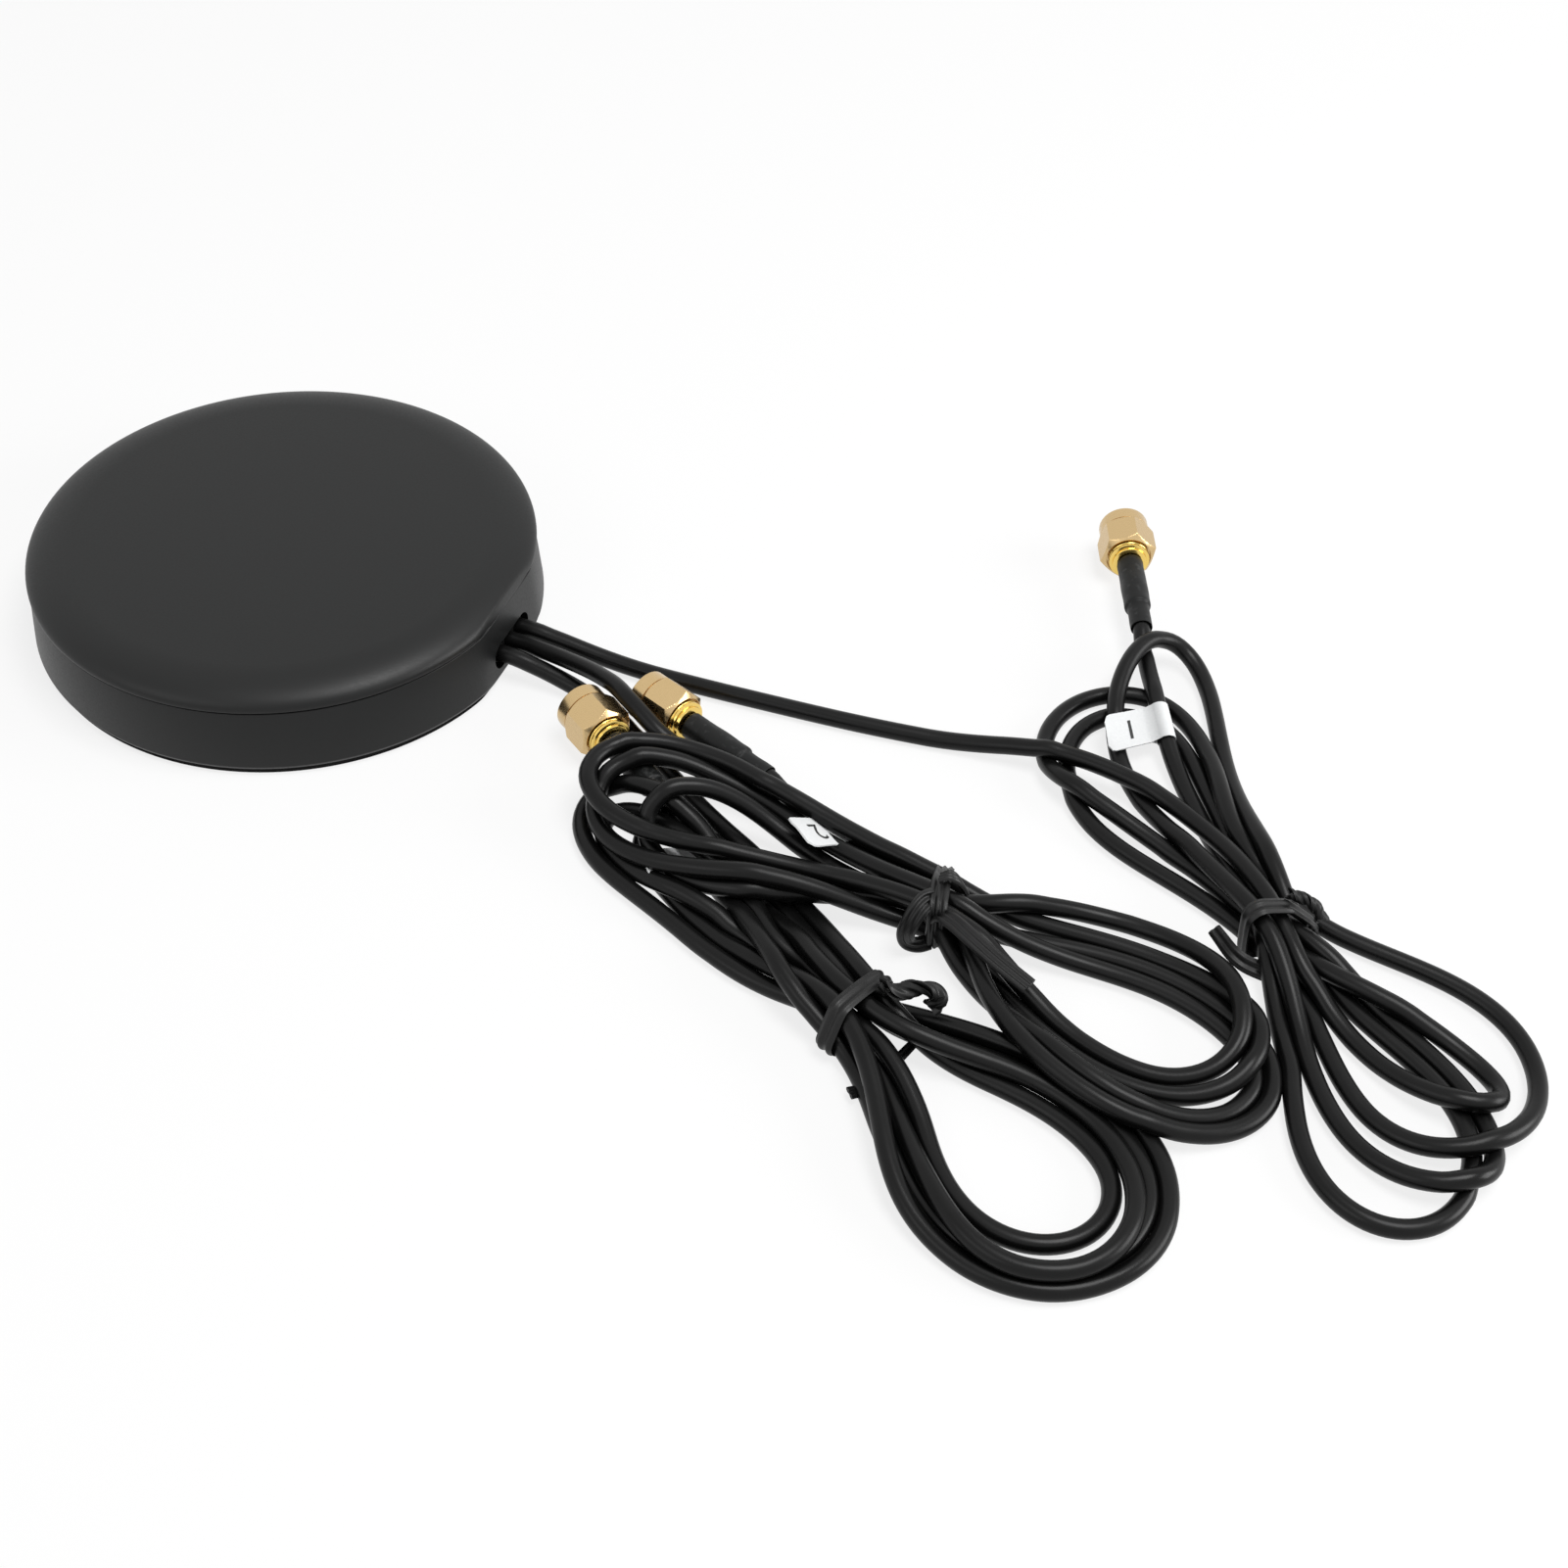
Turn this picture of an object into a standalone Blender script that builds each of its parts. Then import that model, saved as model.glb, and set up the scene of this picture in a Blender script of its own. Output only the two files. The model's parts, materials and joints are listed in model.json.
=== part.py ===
"""Combined puck antenna with three coaxial leads, each hanked, tied and ended in a screw-on plug.

The puck is 80 mm across and stands on an adhesive pad. Its underside is at z = 0, its centre is at
the origin, and the three leads come out of a flat on its +X side. Units are metres.
"""
import math

import bmesh
import bpy
import numpy as np
from mathutils import Matrix, Vector

# Clearance between pieces that touch
GAP = 0.0003

# Puck
PUCK_RADIUS = 0.0400
WALL_DRAFT = 0.0010
RIM_RADIUS = PUCK_RADIUS - WALL_DRAFT
RIM_Z = 0.0122
PUCK_HEIGHT = 0.0150
TOP_ROLL = 0.0070
TOP_FLAT_RADIUS = RIM_RADIUS - TOP_ROLL
RIM_LEDGE = 0.0003
RIM_LEDGE_DROP = 0.0005
FOOT_EDGE = 0.0006
WALL_THICKNESS = 0.0030
WALL_INNER_RADIUS = RIM_RADIUS - WALL_THICKNESS
CEILING_THICKNESS = 0.0020
FLAT_DEPTH = 0.0012
FLAT_LEAN = 0.0006
FLAT_OFFSET_AT_BASE = PUCK_RADIUS - FLAT_DEPTH
FLAT_OFFSET_AT_RIM = FLAT_OFFSET_AT_BASE - FLAT_LEAN
ROUND_STEPS = 64

# Base of the puck
PAD_THICKNESS = 0.0008
PAD_INSET = 0.0008
BASE_THICKNESS = 0.0015
BASE_SEAT = 0.0011
BASE_RADIUS = WALL_INNER_RADIUS + BASE_SEAT
GASKET_WIDTH = 0.0010
GASKET_HEIGHT = 0.0006
BOSS_RADIUS = 0.0026
BOSS_INSET = 0.0035
BOSS_CIRCLE = WALL_INNER_RADIUS - BOSS_INSET
SCREW_RADIUS = 0.0011
SCREW_LENGTH = 0.0080
SCREW_HEAD_RADIUS = 0.0021
SCREW_HEAD_HEIGHT = 0.0010
SCREW_COUNT = 4

# Boards inside the puck
BOARD_INSET = 0.0060
BOARD_RADIUS = BOSS_CIRCLE - BOARD_INSET
BOARD_THICKNESS = 0.0010
BOARD_STANDOFF = 0.0014
PATCH_INSET = 0.0015
PATCH_SIDE = BOARD_RADIUS - PATCH_INSET
PATCH_HEIGHT = 0.0040
PATCH_X = -0.0070
ELECTRODE_INSET = 0.0040
ELECTRODE_SIDE = PATCH_SIDE - ELECTRODE_INSET
ELECTRODE_THICKNESS = 0.0003
SHIELD_SIZE = (0.0120, 0.0100, 0.0024)
SHIELD_WALL = 0.0004
SHIELD_INSET = 0.0115
SHIELD_X = BOARD_RADIUS - SHIELD_INSET
RADIATOR_HEIGHT = 0.0052
RADIATOR_THICKNESS = 0.0010
RADIATOR_INSET = 0.0080
RADIATOR_Y = BOARD_RADIUS - RADIATOR_INSET
RADIATOR_PAST = 0.0075
RADIATOR_LENGTH = BOARD_RADIUS + RADIATOR_PAST

# Leads, grommet and clamp
LEAD_DIAMETER = 0.0027
LEAD_PITCH = 0.0034
EXIT_Z = 0.0043
LEAD_STOP = 0.0010
LEAD_INNER_END = BOARD_RADIUS + LEAD_STOP
LEAD_CLAMPED = 0.0055
SLOT_MARGIN_HIGH = 0.0015
SLOT_HEIGHT = LEAD_DIAMETER + SLOT_MARGIN_HIGH
SLOT_MARGIN_WIDE = 0.0023
SLOT_WIDTH = 2 * LEAD_PITCH + LEAD_DIAMETER + SLOT_MARGIN_WIDE
GROMMET_RECESS = 0.0007
GROMMET_LENGTH = 0.0028
CLAMP_INSET = 0.0050
CLAMP_X = WALL_INNER_RADIUS - CLAMP_INSET
CLAMP_LENGTH = 0.0036
CLAMP_THICKNESS = 0.0014
CLAMP_WIDTH = 0.0204
CLAMP_SCREW_INSET = 0.0024
CLAMP_SCREW_Y = CLAMP_WIDTH / 2 - CLAMP_SCREW_INSET
CLAMP_SCREW_RADIUS = 0.0009
TUBE_STEP = 0.0060
TAIL_STEP = 0.0020

# Plug, along its own +X towards the mating end, from the middle of the coupling nut
PLUG_AXIS_Z = 0.00485
HEX_FLATS = 0.0080
NUT_HALF_LENGTH = 0.0040
COLLAR_LENGTH = 0.0024
COLLAR_RADIUS = 0.00395
HEX_CHAMFER = 0.0006
NUT_FRONT_BORE = 0.0032
NUT_REAR_BORE = 0.00275
NUT_STEP_X = -0.0006
NUT_COUNTERBORE = 0.0036
NUT_COUNTERBORE_DEPTH = 0.0008
RING_GROOVE_X = -0.0020
RING_GROOVE_HALF = 0.0005
RING_GROOVE_DEPTH = 0.0004
NECK_RADIUS = 0.0024
BODY_FRONT_X = 0.0013
BODY_FLANGE_RADIUS = 0.0029
BODY_FLANGE_LENGTH = 0.0007
BODY_BORE = 0.0020
BODY_BORE_X = -0.0030
BODY_RING_RADIUS = 0.00325
BODY_RING_LENGTH = 0.0014
BODY_STEP_RADIUS = 0.00275
BODY_STEP_LENGTH = 0.0005
STEM_RADIUS = 0.0014
STEM_LENGTH = 0.0042
PIN_RADIUS = 0.00045
PIN_TIP_X = 0.0030
INSULATOR_BORE = 0.00075
SEAL_THICKNESS = 0.0006
SLEEVE_RADIUS = 0.0021
SLEEVE_LENGTH = 0.0108
SLEEVE_TAIL_RADIUS = 0.0017
SLEEVE_TAIL_LENGTH = 0.0050
SLEEVE_WALL = 0.0004
TURN_STEPS = 20

# Hanks, ties and flags
HANK_FOOT = 0.0001
HANK_GRID = 0.0080
OUTLINE_STEP = 0.0035
WAIST_HALF_WIDTH = 0.0041
WAIST_HALF_LENGTH = 0.0019
TIE_WIDTH = 0.0028
TIE_THICKNESS = 0.0005
FLAG_LENGTH = 0.0090
FLAG_WIDTH = 0.0065
FLAG_THICKNESS = 0.0002
FLAG_CORNER = 0.0010

# Nut middles on the ground and the headings of the mating ends, in degrees
PLUGS = {
    "gps": {"at": (0.1213, 0.0586), "heading": 111.0, "spin": 12.0},
    "main": {"at": (0.0664, -0.0059), "heading": 157.0, "spin": 20.0},
    "aux": {"at": (0.0578, -0.0126), "heading": 145.0, "spin": 5.0},
}

# Routes of the leads from the board in the puck to their hanks
LEAD_ROUTES = {
    "gps": [
        (LEAD_INNER_END, LEAD_PITCH, EXIT_Z), (LEAD_INNER_END + LEAD_CLAMPED, LEAD_PITCH, EXIT_Z),
        (0.0400, LEAD_PITCH, EXIT_Z), (0.0450, 0.0033, 0.0039), (0.0502, 0.0031, 0.0032),
        (0.0568, 0.0030, 0.0026), (0.0632, 0.0032, 0.0020), (0.0700, 0.0037, 0.0015),
        (0.0780, 0.0043, 0.0014), (0.0870, 0.0046, 0.0014), (0.0960, 0.0049, 0.0014),
        (0.1040, 0.0057, 0.0014), (0.1110, 0.0069, 0.0015), (0.1160, 0.0077, 0.0021),
        (0.1190, 0.0080, 0.0028),
    ],
    "main": [
        (LEAD_INNER_END, 0.0, EXIT_Z), (LEAD_INNER_END + LEAD_CLAMPED, 0.0, EXIT_Z), (0.0400, 0.0, EXIT_Z),
        (0.0450, -0.0007, 0.0045), (0.0500, -0.0016, 0.0049), (0.0546, -0.0029, 0.0060),
        (0.0583, -0.0057, 0.0078), (0.0622, -0.0094, 0.0090), (0.0660, -0.0124, 0.0095),
        (0.0692, -0.0138, 0.0097),
    ],
    "aux": [
        (LEAD_INNER_END, -LEAD_PITCH, EXIT_Z), (LEAD_INNER_END + LEAD_CLAMPED, -LEAD_PITCH, EXIT_Z),
        (0.0400, -LEAD_PITCH, EXIT_Z), (0.0440, -0.0035, 0.0034), (0.0480, -0.0034, 0.0021),
        (0.0520, -0.0033, 0.0014), (0.0558, -0.0043, 0.0014), (0.0590, -0.0067, 0.0014),
        (0.0620, -0.0093, 0.0014), (0.0670, -0.0127, 0.0014), (0.0710, -0.0153, 0.0014),
        (0.0750, -0.0184, 0.0014), (0.0790, -0.0216, 0.0014), (0.0824, -0.0248, 0.0016),
    ],
}

# Last millimetres of each lead, from its hank to the sleeve of its plug
TAIL_ENDS = {
    "gps": (0.1305, 0.0352, 0.0047),
    "main": (0.0912, -0.0158, 0.0047),
    "aux": (0.0770, -0.0260, 0.0046),
}

# Each hank: middle and heading of its tie, then its two lobes, both counter-clockwise
HANKS = {
    "gps": {
        "tie": (0.1616, -0.0152), "heading": -50.0,
        "right": [
            (0.1622, -0.0255), (0.1643, -0.0340), (0.1672, -0.0430), (0.1712, -0.0510),
            (0.1770, -0.0585), (0.1840, -0.0615), (0.1900, -0.0603), (0.1950, -0.0550),
            (0.1982, -0.0460), (0.2003, -0.0400), (0.2020, -0.0320), (0.2008, -0.0250),
            (0.1965, -0.0180), (0.1880, -0.0142), (0.1780, -0.0125), (0.1700, -0.0105),
        ],
        "left": [
            (0.1560, 0.0020), (0.1500, 0.0140), (0.1430, 0.0310), (0.1385, 0.0385),
            (0.1343, 0.0395), (0.1312, 0.0335), (0.1282, 0.0265), (0.1230, 0.0200),
            (0.1206, 0.0120), (0.1212, 0.0050), (0.1260, -0.0030), (0.1320, -0.0075),
            (0.1400, -0.0108), (0.1500, -0.0150),
        ],
    },
    "main": {
        "tie": (0.1170, -0.0290), "heading": -14.0,
        "right": [
            (0.1230, -0.0365), (0.1300, -0.0420), (0.1380, -0.0475), (0.1450, -0.0518),
            (0.1520, -0.0543), (0.1600, -0.0540), (0.1660, -0.0505), (0.1690, -0.0450),
            (0.1690, -0.0380), (0.1665, -0.0310), (0.1620, -0.0262), (0.1560, -0.0220),
            (0.1480, -0.0190), (0.1400, -0.0187), (0.1300, -0.0205), (0.1220, -0.0225),
        ],
        "left": [
            (0.1057, -0.0210), (0.0960, -0.0178), (0.0865, -0.0158), (0.0765, -0.0148),
            (0.0680, -0.0157), (0.0628, -0.0190), (0.0612, -0.0235), (0.0625, -0.0285),
            (0.0658, -0.0340), (0.0718, -0.0385), (0.0808, -0.0410), (0.0875, -0.0410),
            (0.0960, -0.0382), (0.1045, -0.0345),
        ],
    },
    "aux": {
        "tie": (0.1122, -0.0512), "heading": -26.0,
        "right": [
            (0.1162, -0.0620), (0.1235, -0.0730), (0.1295, -0.0800), (0.1360, -0.0845),
            (0.1430, -0.0860), (0.1510, -0.0842), (0.1570, -0.0790), (0.1603, -0.0720),
            (0.1595, -0.0665), (0.1565, -0.0620), (0.1520, -0.0590), (0.1460, -0.0556),
            (0.1380, -0.0520), (0.1280, -0.0495), (0.1190, -0.0475),
        ],
        "left": [
            (0.1045, -0.0407), (0.0970, -0.0347), (0.0900, -0.0300), (0.0842, -0.0268),
            (0.0803, -0.0276), (0.0746, -0.0284), (0.0690, -0.0268), (0.0640, -0.0245),
            (0.0615, -0.0262), (0.0630, -0.0315), (0.0670, -0.0362), (0.0730, -0.0398),
            (0.0820, -0.0437), (0.0920, -0.0477), (0.1010, -0.0518),
        ],
    },
}

# Height of each hank's underside and its thickness, by x
HANK_LEVELS = {
    "gps": {
        "x": (0.120, 0.150, 0.157, 0.166, 0.174, 0.203),
        "foot": (0.0001, 0.0001, 0.0010, 0.0010, 0.0001, 0.0001),
        "thick": (0.0054, 0.0054, 0.0066, 0.0066, 0.0054, 0.0054),
    },
    "main": {
        "x": (0.061, 0.075, 0.1015, 0.1130, 0.1210, 0.1285, 0.170),
        "foot": (0.0074, 0.0074, 0.0056, 0.0010, 0.0010, 0.0001, 0.0001),
        "thick": (0.0054, 0.0054, 0.0054, 0.0066, 0.0066, 0.0054, 0.0054),
    },
    "aux": {
        "x": (0.061, 0.1005, 0.1080, 0.1165, 0.124, 0.161),
        "foot": (0.0001, 0.0001, 0.0010, 0.0010, 0.0001, 0.0001),
        "thick": (0.0048, 0.0048, 0.0066, 0.0066, 0.0054, 0.0054),
    },
}

# The gps hank's left edge lies on the end of the main hank
GPS_LIFT = 0.0061
GPS_LIFT_FROM_Y = -0.0210
GPS_LIFT_TO_X = 0.1780
GPS_LIFT_RUN = 0.0070

# Paper flags on the leads: middle, underside height, heading of the free end
FLAGS = {
    "gps": {"at": (0.1350, 0.0190), "z": 0.0059, "heading": 205.0},
    "main": {"at": (0.0940, -0.0245), "z": 0.0052, "heading": -60.0},
    "aux": {"at": (0.0830, -0.0330), "z": 0.0057, "heading": 200.0},
}

BLACK_ABS = ("moulded_abs", (0.016, 0.016, 0.016), 0.55, 0.0)
FOAM = ("foam_pad", (0.012, 0.012, 0.012), 0.95, 0.0)
RUBBER = ("grommet_rubber", (0.010, 0.010, 0.010), 0.8, 0.0)
LAMINATE = ("green_laminate", (0.02, 0.12, 0.05), 0.5, 0.0)
CERAMIC = ("patch_ceramic", (0.62, 0.55, 0.42), 0.6, 0.0)
SILVER = ("silver_plate", (0.72, 0.71, 0.68), 0.35, 1.0)
TINNED = ("tinned_can", (0.55, 0.56, 0.57), 0.35, 1.0)
STEEL = ("screw_steel", (0.35, 0.36, 0.38), 0.4, 1.0)
GOLD = ("gold_plate", (0.78, 0.56, 0.24), 0.3, 1.0)
PTFE = ("white_ptfe", (0.80, 0.80, 0.78), 0.45, 0.0)
SILICONE = ("red_silicone", (0.45, 0.08, 0.05), 0.6, 0.0)
CABLE_PVC = ("cable_pvc", (0.018, 0.018, 0.018), 0.4, 0.0)
SHRINK = ("heat_shrink", (0.020, 0.020, 0.020), 0.55, 0.0)
TIE_PVC = ("tie_pvc", (0.022, 0.022, 0.022), 0.5, 0.0)
PAPER = ("flag_paper", (0.80, 0.80, 0.79), 0.7, 0.0)

PARTS = "puck_antenna"
CUTTERS = "cutters"


def clear_scene():
    for obj in list(bpy.data.objects):
        bpy.data.objects.remove(obj, do_unlink=True)


def collection(name):
    found = bpy.data.collections.get(name)
    if found is None:
        found = bpy.data.collections.new(name)
        bpy.context.scene.collection.children.link(found)
    return found


def material(spec):
    name, color, roughness, metallic = spec
    found = bpy.data.materials.get(name)
    if found is None:
        found = bpy.data.materials.new(name)
        found.use_nodes = True
        shader = found.node_tree.nodes["Principled BSDF"]
        shader.inputs["Base Color"].default_value = (*color, 1.0)
        shader.inputs["Roughness"].default_value = roughness
        shader.inputs["Metallic"].default_value = metallic
        found.diffuse_color = (*color, 1.0)
    return found


def add_object(name, mesh, spec=None, parent=None):
    """A named part with its material, or a hidden cutter when it has none."""
    obj = bpy.data.objects.new(name, mesh)
    if spec is None:
        collection(CUTTERS).objects.link(obj)
        obj.hide_render = True
        obj.display_type = "WIRE"
    else:
        collection(PARTS).objects.link(obj)
        obj.data.materials.append(material(spec))
    obj.parent = parent
    return obj


def add_empty(name, at, heading=0.0, spin=0.0, parent=None):
    """A frame whose +X points along the heading, level with the ground, then rolled by spin."""
    empty = bpy.data.objects.new(name, None)
    collection(PARTS).objects.link(empty)
    empty.location = at
    empty.rotation_mode = "XYZ"
    empty.rotation_euler = (math.radians(spin), 0.0, math.radians(heading))
    empty.parent = parent
    return empty


def mesh_from(bm, name):
    bmesh.ops.recalc_face_normals(bm, faces=bm.faces)
    mesh = bpy.data.meshes.new(name)
    bm.to_mesh(mesh)
    bm.free()
    return mesh


def smooth_shade(obj, angle=35.0):
    obj.data.shade_smooth()
    obj.data.set_sharp_from_angle(angle=math.radians(angle))


def box_mesh(name, size, centre):
    bm = bmesh.new()
    bmesh.ops.create_cube(bm, size=1.0)
    bmesh.ops.scale(bm, vec=size, verts=bm.verts)
    bmesh.ops.translate(bm, vec=centre, verts=bm.verts)
    return mesh_from(bm, name)


def cylinder_mesh(name, radius, z_low, z_high, x=0.0, y=0.0, segments=24, top_radius=None):
    bm = bmesh.new()
    bmesh.ops.create_cone(
        bm, cap_ends=True, segments=segments, radius1=radius,
        radius2=radius if top_radius is None else top_radius, depth=z_high - z_low,
    )
    bmesh.ops.translate(bm, vec=(x, y, (z_low + z_high) / 2), verts=bm.verts)
    return mesh_from(bm, name)


def boolean(obj, cutter, operation):
    modifier = obj.modifiers.new(operation.lower(), "BOOLEAN")
    modifier.operation = operation
    modifier.solver = "EXACT"
    modifier.object = cutter


def cut(obj, cutter):
    boolean(obj, cutter, "DIFFERENCE")


def turned(name, profile, spec, axis="Z", steps=TURN_STEPS, parent=None):
    """Turns a profile of (radius, height) about Z, or about X with height along +X.

    The profile is a closed loop that runs down its outer side. A point at radius 0 is on the axis.
    """
    bm = bmesh.new()
    corners = []
    for radius, height in profile:
        place = (radius, 0.0, height) if axis == "Z" else (height, 0.0, radius)
        corners.append(bm.verts.new(place))
    closed = all(radius > 0 for radius, _ in profile)
    for first, second in zip(corners, corners[1:] + corners[:1] if closed else corners[1:]):
        bm.edges.new((first, second))
    mesh = bpy.data.meshes.new(name)
    bm.to_mesh(mesh)
    bm.free()
    obj = add_object(name, mesh, spec, parent)
    screw = obj.modifiers.new("turn", "SCREW")
    screw.axis = axis
    screw.steps = steps
    screw.render_steps = steps
    screw.use_merge_vertices = True
    screw.merge_threshold = 0.00001
    return obj


def smooth_line(points, step, closed=False):
    """Points along a Catmull-Rom curve through the given ones, about a step apart."""
    points = np.array(points, float)
    if closed:
        padded = np.vstack([points[-1], points, points[:2]])
    else:
        padded = np.vstack([2 * points[0] - points[1], points, 2 * points[-1] - points[-2]])
    dense = []
    for a, b, c, d in zip(padded, padded[1:], padded[2:], padded[3:]):
        for t in np.arange(0.0, 1.0, 0.05):
            dense.append(
                0.5 * (2 * b + (c - a) * t + (2 * a - 5 * b + 4 * c - d) * t**2
                       + (3 * b - 3 * c + d - a) * t**3)
            )
    dense.append(padded[-2])
    dense = np.array(dense)
    along = np.concatenate([[0.0], np.cumsum(np.linalg.norm(np.diff(dense, axis=0), axis=1))])
    count = max(2, round(along[-1] / step))
    places = np.linspace(0.0, along[-1], count + 1)
    line = np.column_stack([np.interp(places, along, column) for column in dense.T])
    return line[:-1] if closed else line


def tube(name, points, radius, spec, step=TUBE_STEP, parent=None):
    """A capped tube along a smooth curve through the points."""
    data = bpy.data.curves.new(name, "CURVE")
    data.dimensions = "3D"
    data.bevel_depth = radius
    data.bevel_resolution = 2
    data.use_fill_caps = True
    line = smooth_line(points, step)
    spline = data.splines.new("POLY")
    spline.points.add(len(line) - 1)
    for target, place in zip(spline.points, line):
        target.co = (*place, 1.0)
    return add_object(name, data, spec, parent)


def flat_outline(name, points, z_low, z_high, spec, parent=None):
    """A plate of the given outline, from a filled and extruded 2D curve."""
    data = bpy.data.curves.new(name, "CURVE")
    data.dimensions = "2D"
    data.fill_mode = "BOTH"
    data.extrude = (z_high - z_low) / 2
    spline = data.splines.new("POLY")
    spline.points.add(len(points) - 1)
    for target, place in zip(spline.points, points):
        target.co = (*place, 0.0, 1.0)
    spline.use_cyclic_u = True
    guide = bpy.data.objects.new(name + "_curve", data)
    collection(CUTTERS).objects.link(guide)
    guide.location.z = (z_low + z_high) / 2
    bpy.context.view_layer.update()
    graph = bpy.context.evaluated_depsgraph_get()
    mesh = bpy.data.meshes.new_from_object(guide.evaluated_get(graph))
    matrix = guide.matrix_world.copy()
    bpy.data.objects.remove(guide, do_unlink=True)
    bm = bmesh.new()
    bm.from_mesh(mesh)
    bmesh.ops.remove_doubles(bm, verts=bm.verts, dist=0.000001)
    bm.to_mesh(mesh)
    bm.free()
    mesh.transform(matrix)
    return add_object(name, mesh, spec, parent)


def rounded_rectangle(length, width, corner, steps=5):
    points = []
    for sign_x, sign_y, start in ((1, 1, 0), (-1, 1, 90), (-1, -1, 180), (1, -1, 270)):
        middle = (sign_x * (length / 2 - corner), sign_y * (width / 2 - corner))
        for index in range(steps):
            angle = math.radians(start + 90 * index / (steps - 1))
            points.append((middle[0] + corner * math.cos(angle), middle[1] + corner * math.sin(angle)))
    return points


def slot_mesh(name, width, height, x_low, x_high, z):
    """A slot with round ends, lying along Y and running along X."""
    bm = bmesh.new()
    half = width / 2 - height / 2
    ring = []
    for side in (1, -1):
        for index in range(9):
            angle = math.radians(-90 + 180 * index / 8)
            ring.append((side * (half + height / 2 * math.cos(angle)), side * height / 2 * math.sin(angle)))
    face = bm.faces.new([bm.verts.new((x_low, y, z + dz)) for y, dz in ring])
    moved = bmesh.ops.extrude_face_region(bm, geom=[face])["geom"]
    bmesh.ops.translate(
        bm, vec=(x_high - x_low, 0, 0), verts=[item for item in moved if isinstance(item, bmesh.types.BMVert)]
    )
    return mesh_from(bm, name)


def arc(centre, radii, start, stop, steps):
    """Points of an elliptic arc in (radius, height)."""
    angles = np.radians(np.linspace(start, stop, steps))
    return [(centre[0] + radii[0] * math.cos(a), centre[1] + radii[1] * math.sin(a)) for a in angles]


def base_levels():
    """Heights of the puck's stacked pieces, from the pad up."""
    plate_low = PAD_THICKNESS + GAP
    plate_high = plate_low + BASE_THICKNESS
    board_low = plate_high + BOARD_STANDOFF
    board_high = board_low + BOARD_THICKNESS
    return plate_low, plate_high, board_low, board_high


def boss_places():
    for index in range(SCREW_COUNT):
        angle = math.radians(45 + index * 360 / SCREW_COUNT)
        yield index + 1, BOSS_CIRCLE * math.cos(angle), BOSS_CIRCLE * math.sin(angle)


def flat_cutter(name, reach=0.0):
    """A wedge outside the flat on the +X side, moved inwards by reach."""
    bm = bmesh.new()
    bmesh.ops.create_cube(bm, size=1.0)
    bmesh.ops.scale(bm, vec=(PUCK_RADIUS, 3 * PUCK_RADIUS, 3 * PUCK_HEIGHT), verts=bm.verts)
    bmesh.ops.translate(bm, vec=(PUCK_RADIUS / 2, 0, 0), verts=bm.verts)
    lean = math.atan2(FLAT_OFFSET_AT_BASE - FLAT_OFFSET_AT_RIM, RIM_Z)
    bmesh.ops.rotate(bm, matrix=Matrix.Rotation(-lean, 3, "Y"), verts=bm.verts)
    bmesh.ops.translate(bm, vec=(FLAT_OFFSET_AT_BASE - reach, 0, 0), verts=bm.verts)
    return add_object(name, mesh_from(bm, name))


def make_cover(root):
    """The moulded top: wall, crisp rim, rolled-off top, four screw bosses and the lead slot."""
    plate_low, plate_high, _, _ = base_levels()
    gasket_top = plate_high + GAP + GASKET_HEIGHT
    wall_slope = (PUCK_RADIUS - RIM_RADIUS) / RIM_Z
    ledge_low = RIM_Z - RIM_LEDGE_DROP
    roll = (RIM_RADIUS + RIM_LEDGE - TOP_FLAT_RADIUS, PUCK_HEIGHT - RIM_Z)
    outer = [(0.0, PUCK_HEIGHT)]
    outer += arc((TOP_FLAT_RADIUS, RIM_Z), roll, 90, 0, 8)
    outer += [(RIM_RADIUS + RIM_LEDGE, ledge_low), (RIM_RADIUS, ledge_low - RIM_LEDGE)]
    foot_radius = PUCK_RADIUS - wall_slope * plate_low
    outer += [(foot_radius, plate_low + FOOT_EDGE), (foot_radius - FOOT_EDGE / 2, plate_low)]
    seat_radius = BASE_RADIUS + GAP
    ceiling = PUCK_HEIGHT - CEILING_THICKNESS
    inner = [
        (seat_radius, plate_low),
        (seat_radius, gasket_top + GAP),
        (WALL_INNER_RADIUS, gasket_top + GAP),
    ]
    inner_roll = (
        WALL_INNER_RADIUS - TOP_FLAT_RADIUS + CEILING_THICKNESS,
        ceiling - RIM_Z + CEILING_THICKNESS,
    )
    inner += arc((WALL_INNER_RADIUS - inner_roll[0], ceiling - inner_roll[1]), inner_roll, 0, 90, 4)
    inner += [(0.0, ceiling)]
    cover = turned("radome_cover", outer + inner, BLACK_ABS, steps=ROUND_STEPS, parent=root)
    cut(cover, flat_cutter("cut_cover_flat"))
    for number, x, y in boss_places():
        boss_name = f"add_boss_{number}"
        boss = add_object(
            boss_name, cylinder_mesh(boss_name, BOSS_RADIUS, plate_high + GAP, ceiling + GAP, x, y, 16)
        )
        boolean(cover, boss, "UNION")
        hole_name = f"cut_boss_{number}"
        hole_top = plate_low + SCREW_LENGTH + 2 * GAP
        hole = add_object(
            hole_name, cylinder_mesh(hole_name, SCREW_RADIUS + GAP, plate_high - GAP, hole_top, x, y, 12)
        )
        cut(cover, hole)
    slot = slot_mesh(
        "cut_lead_slot", SLOT_WIDTH, SLOT_HEIGHT, WALL_INNER_RADIUS - 0.004, PUCK_RADIUS + 0.002, EXIT_Z
    )
    cut(cover, add_object("cut_lead_slot", slot))
    return cover


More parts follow.
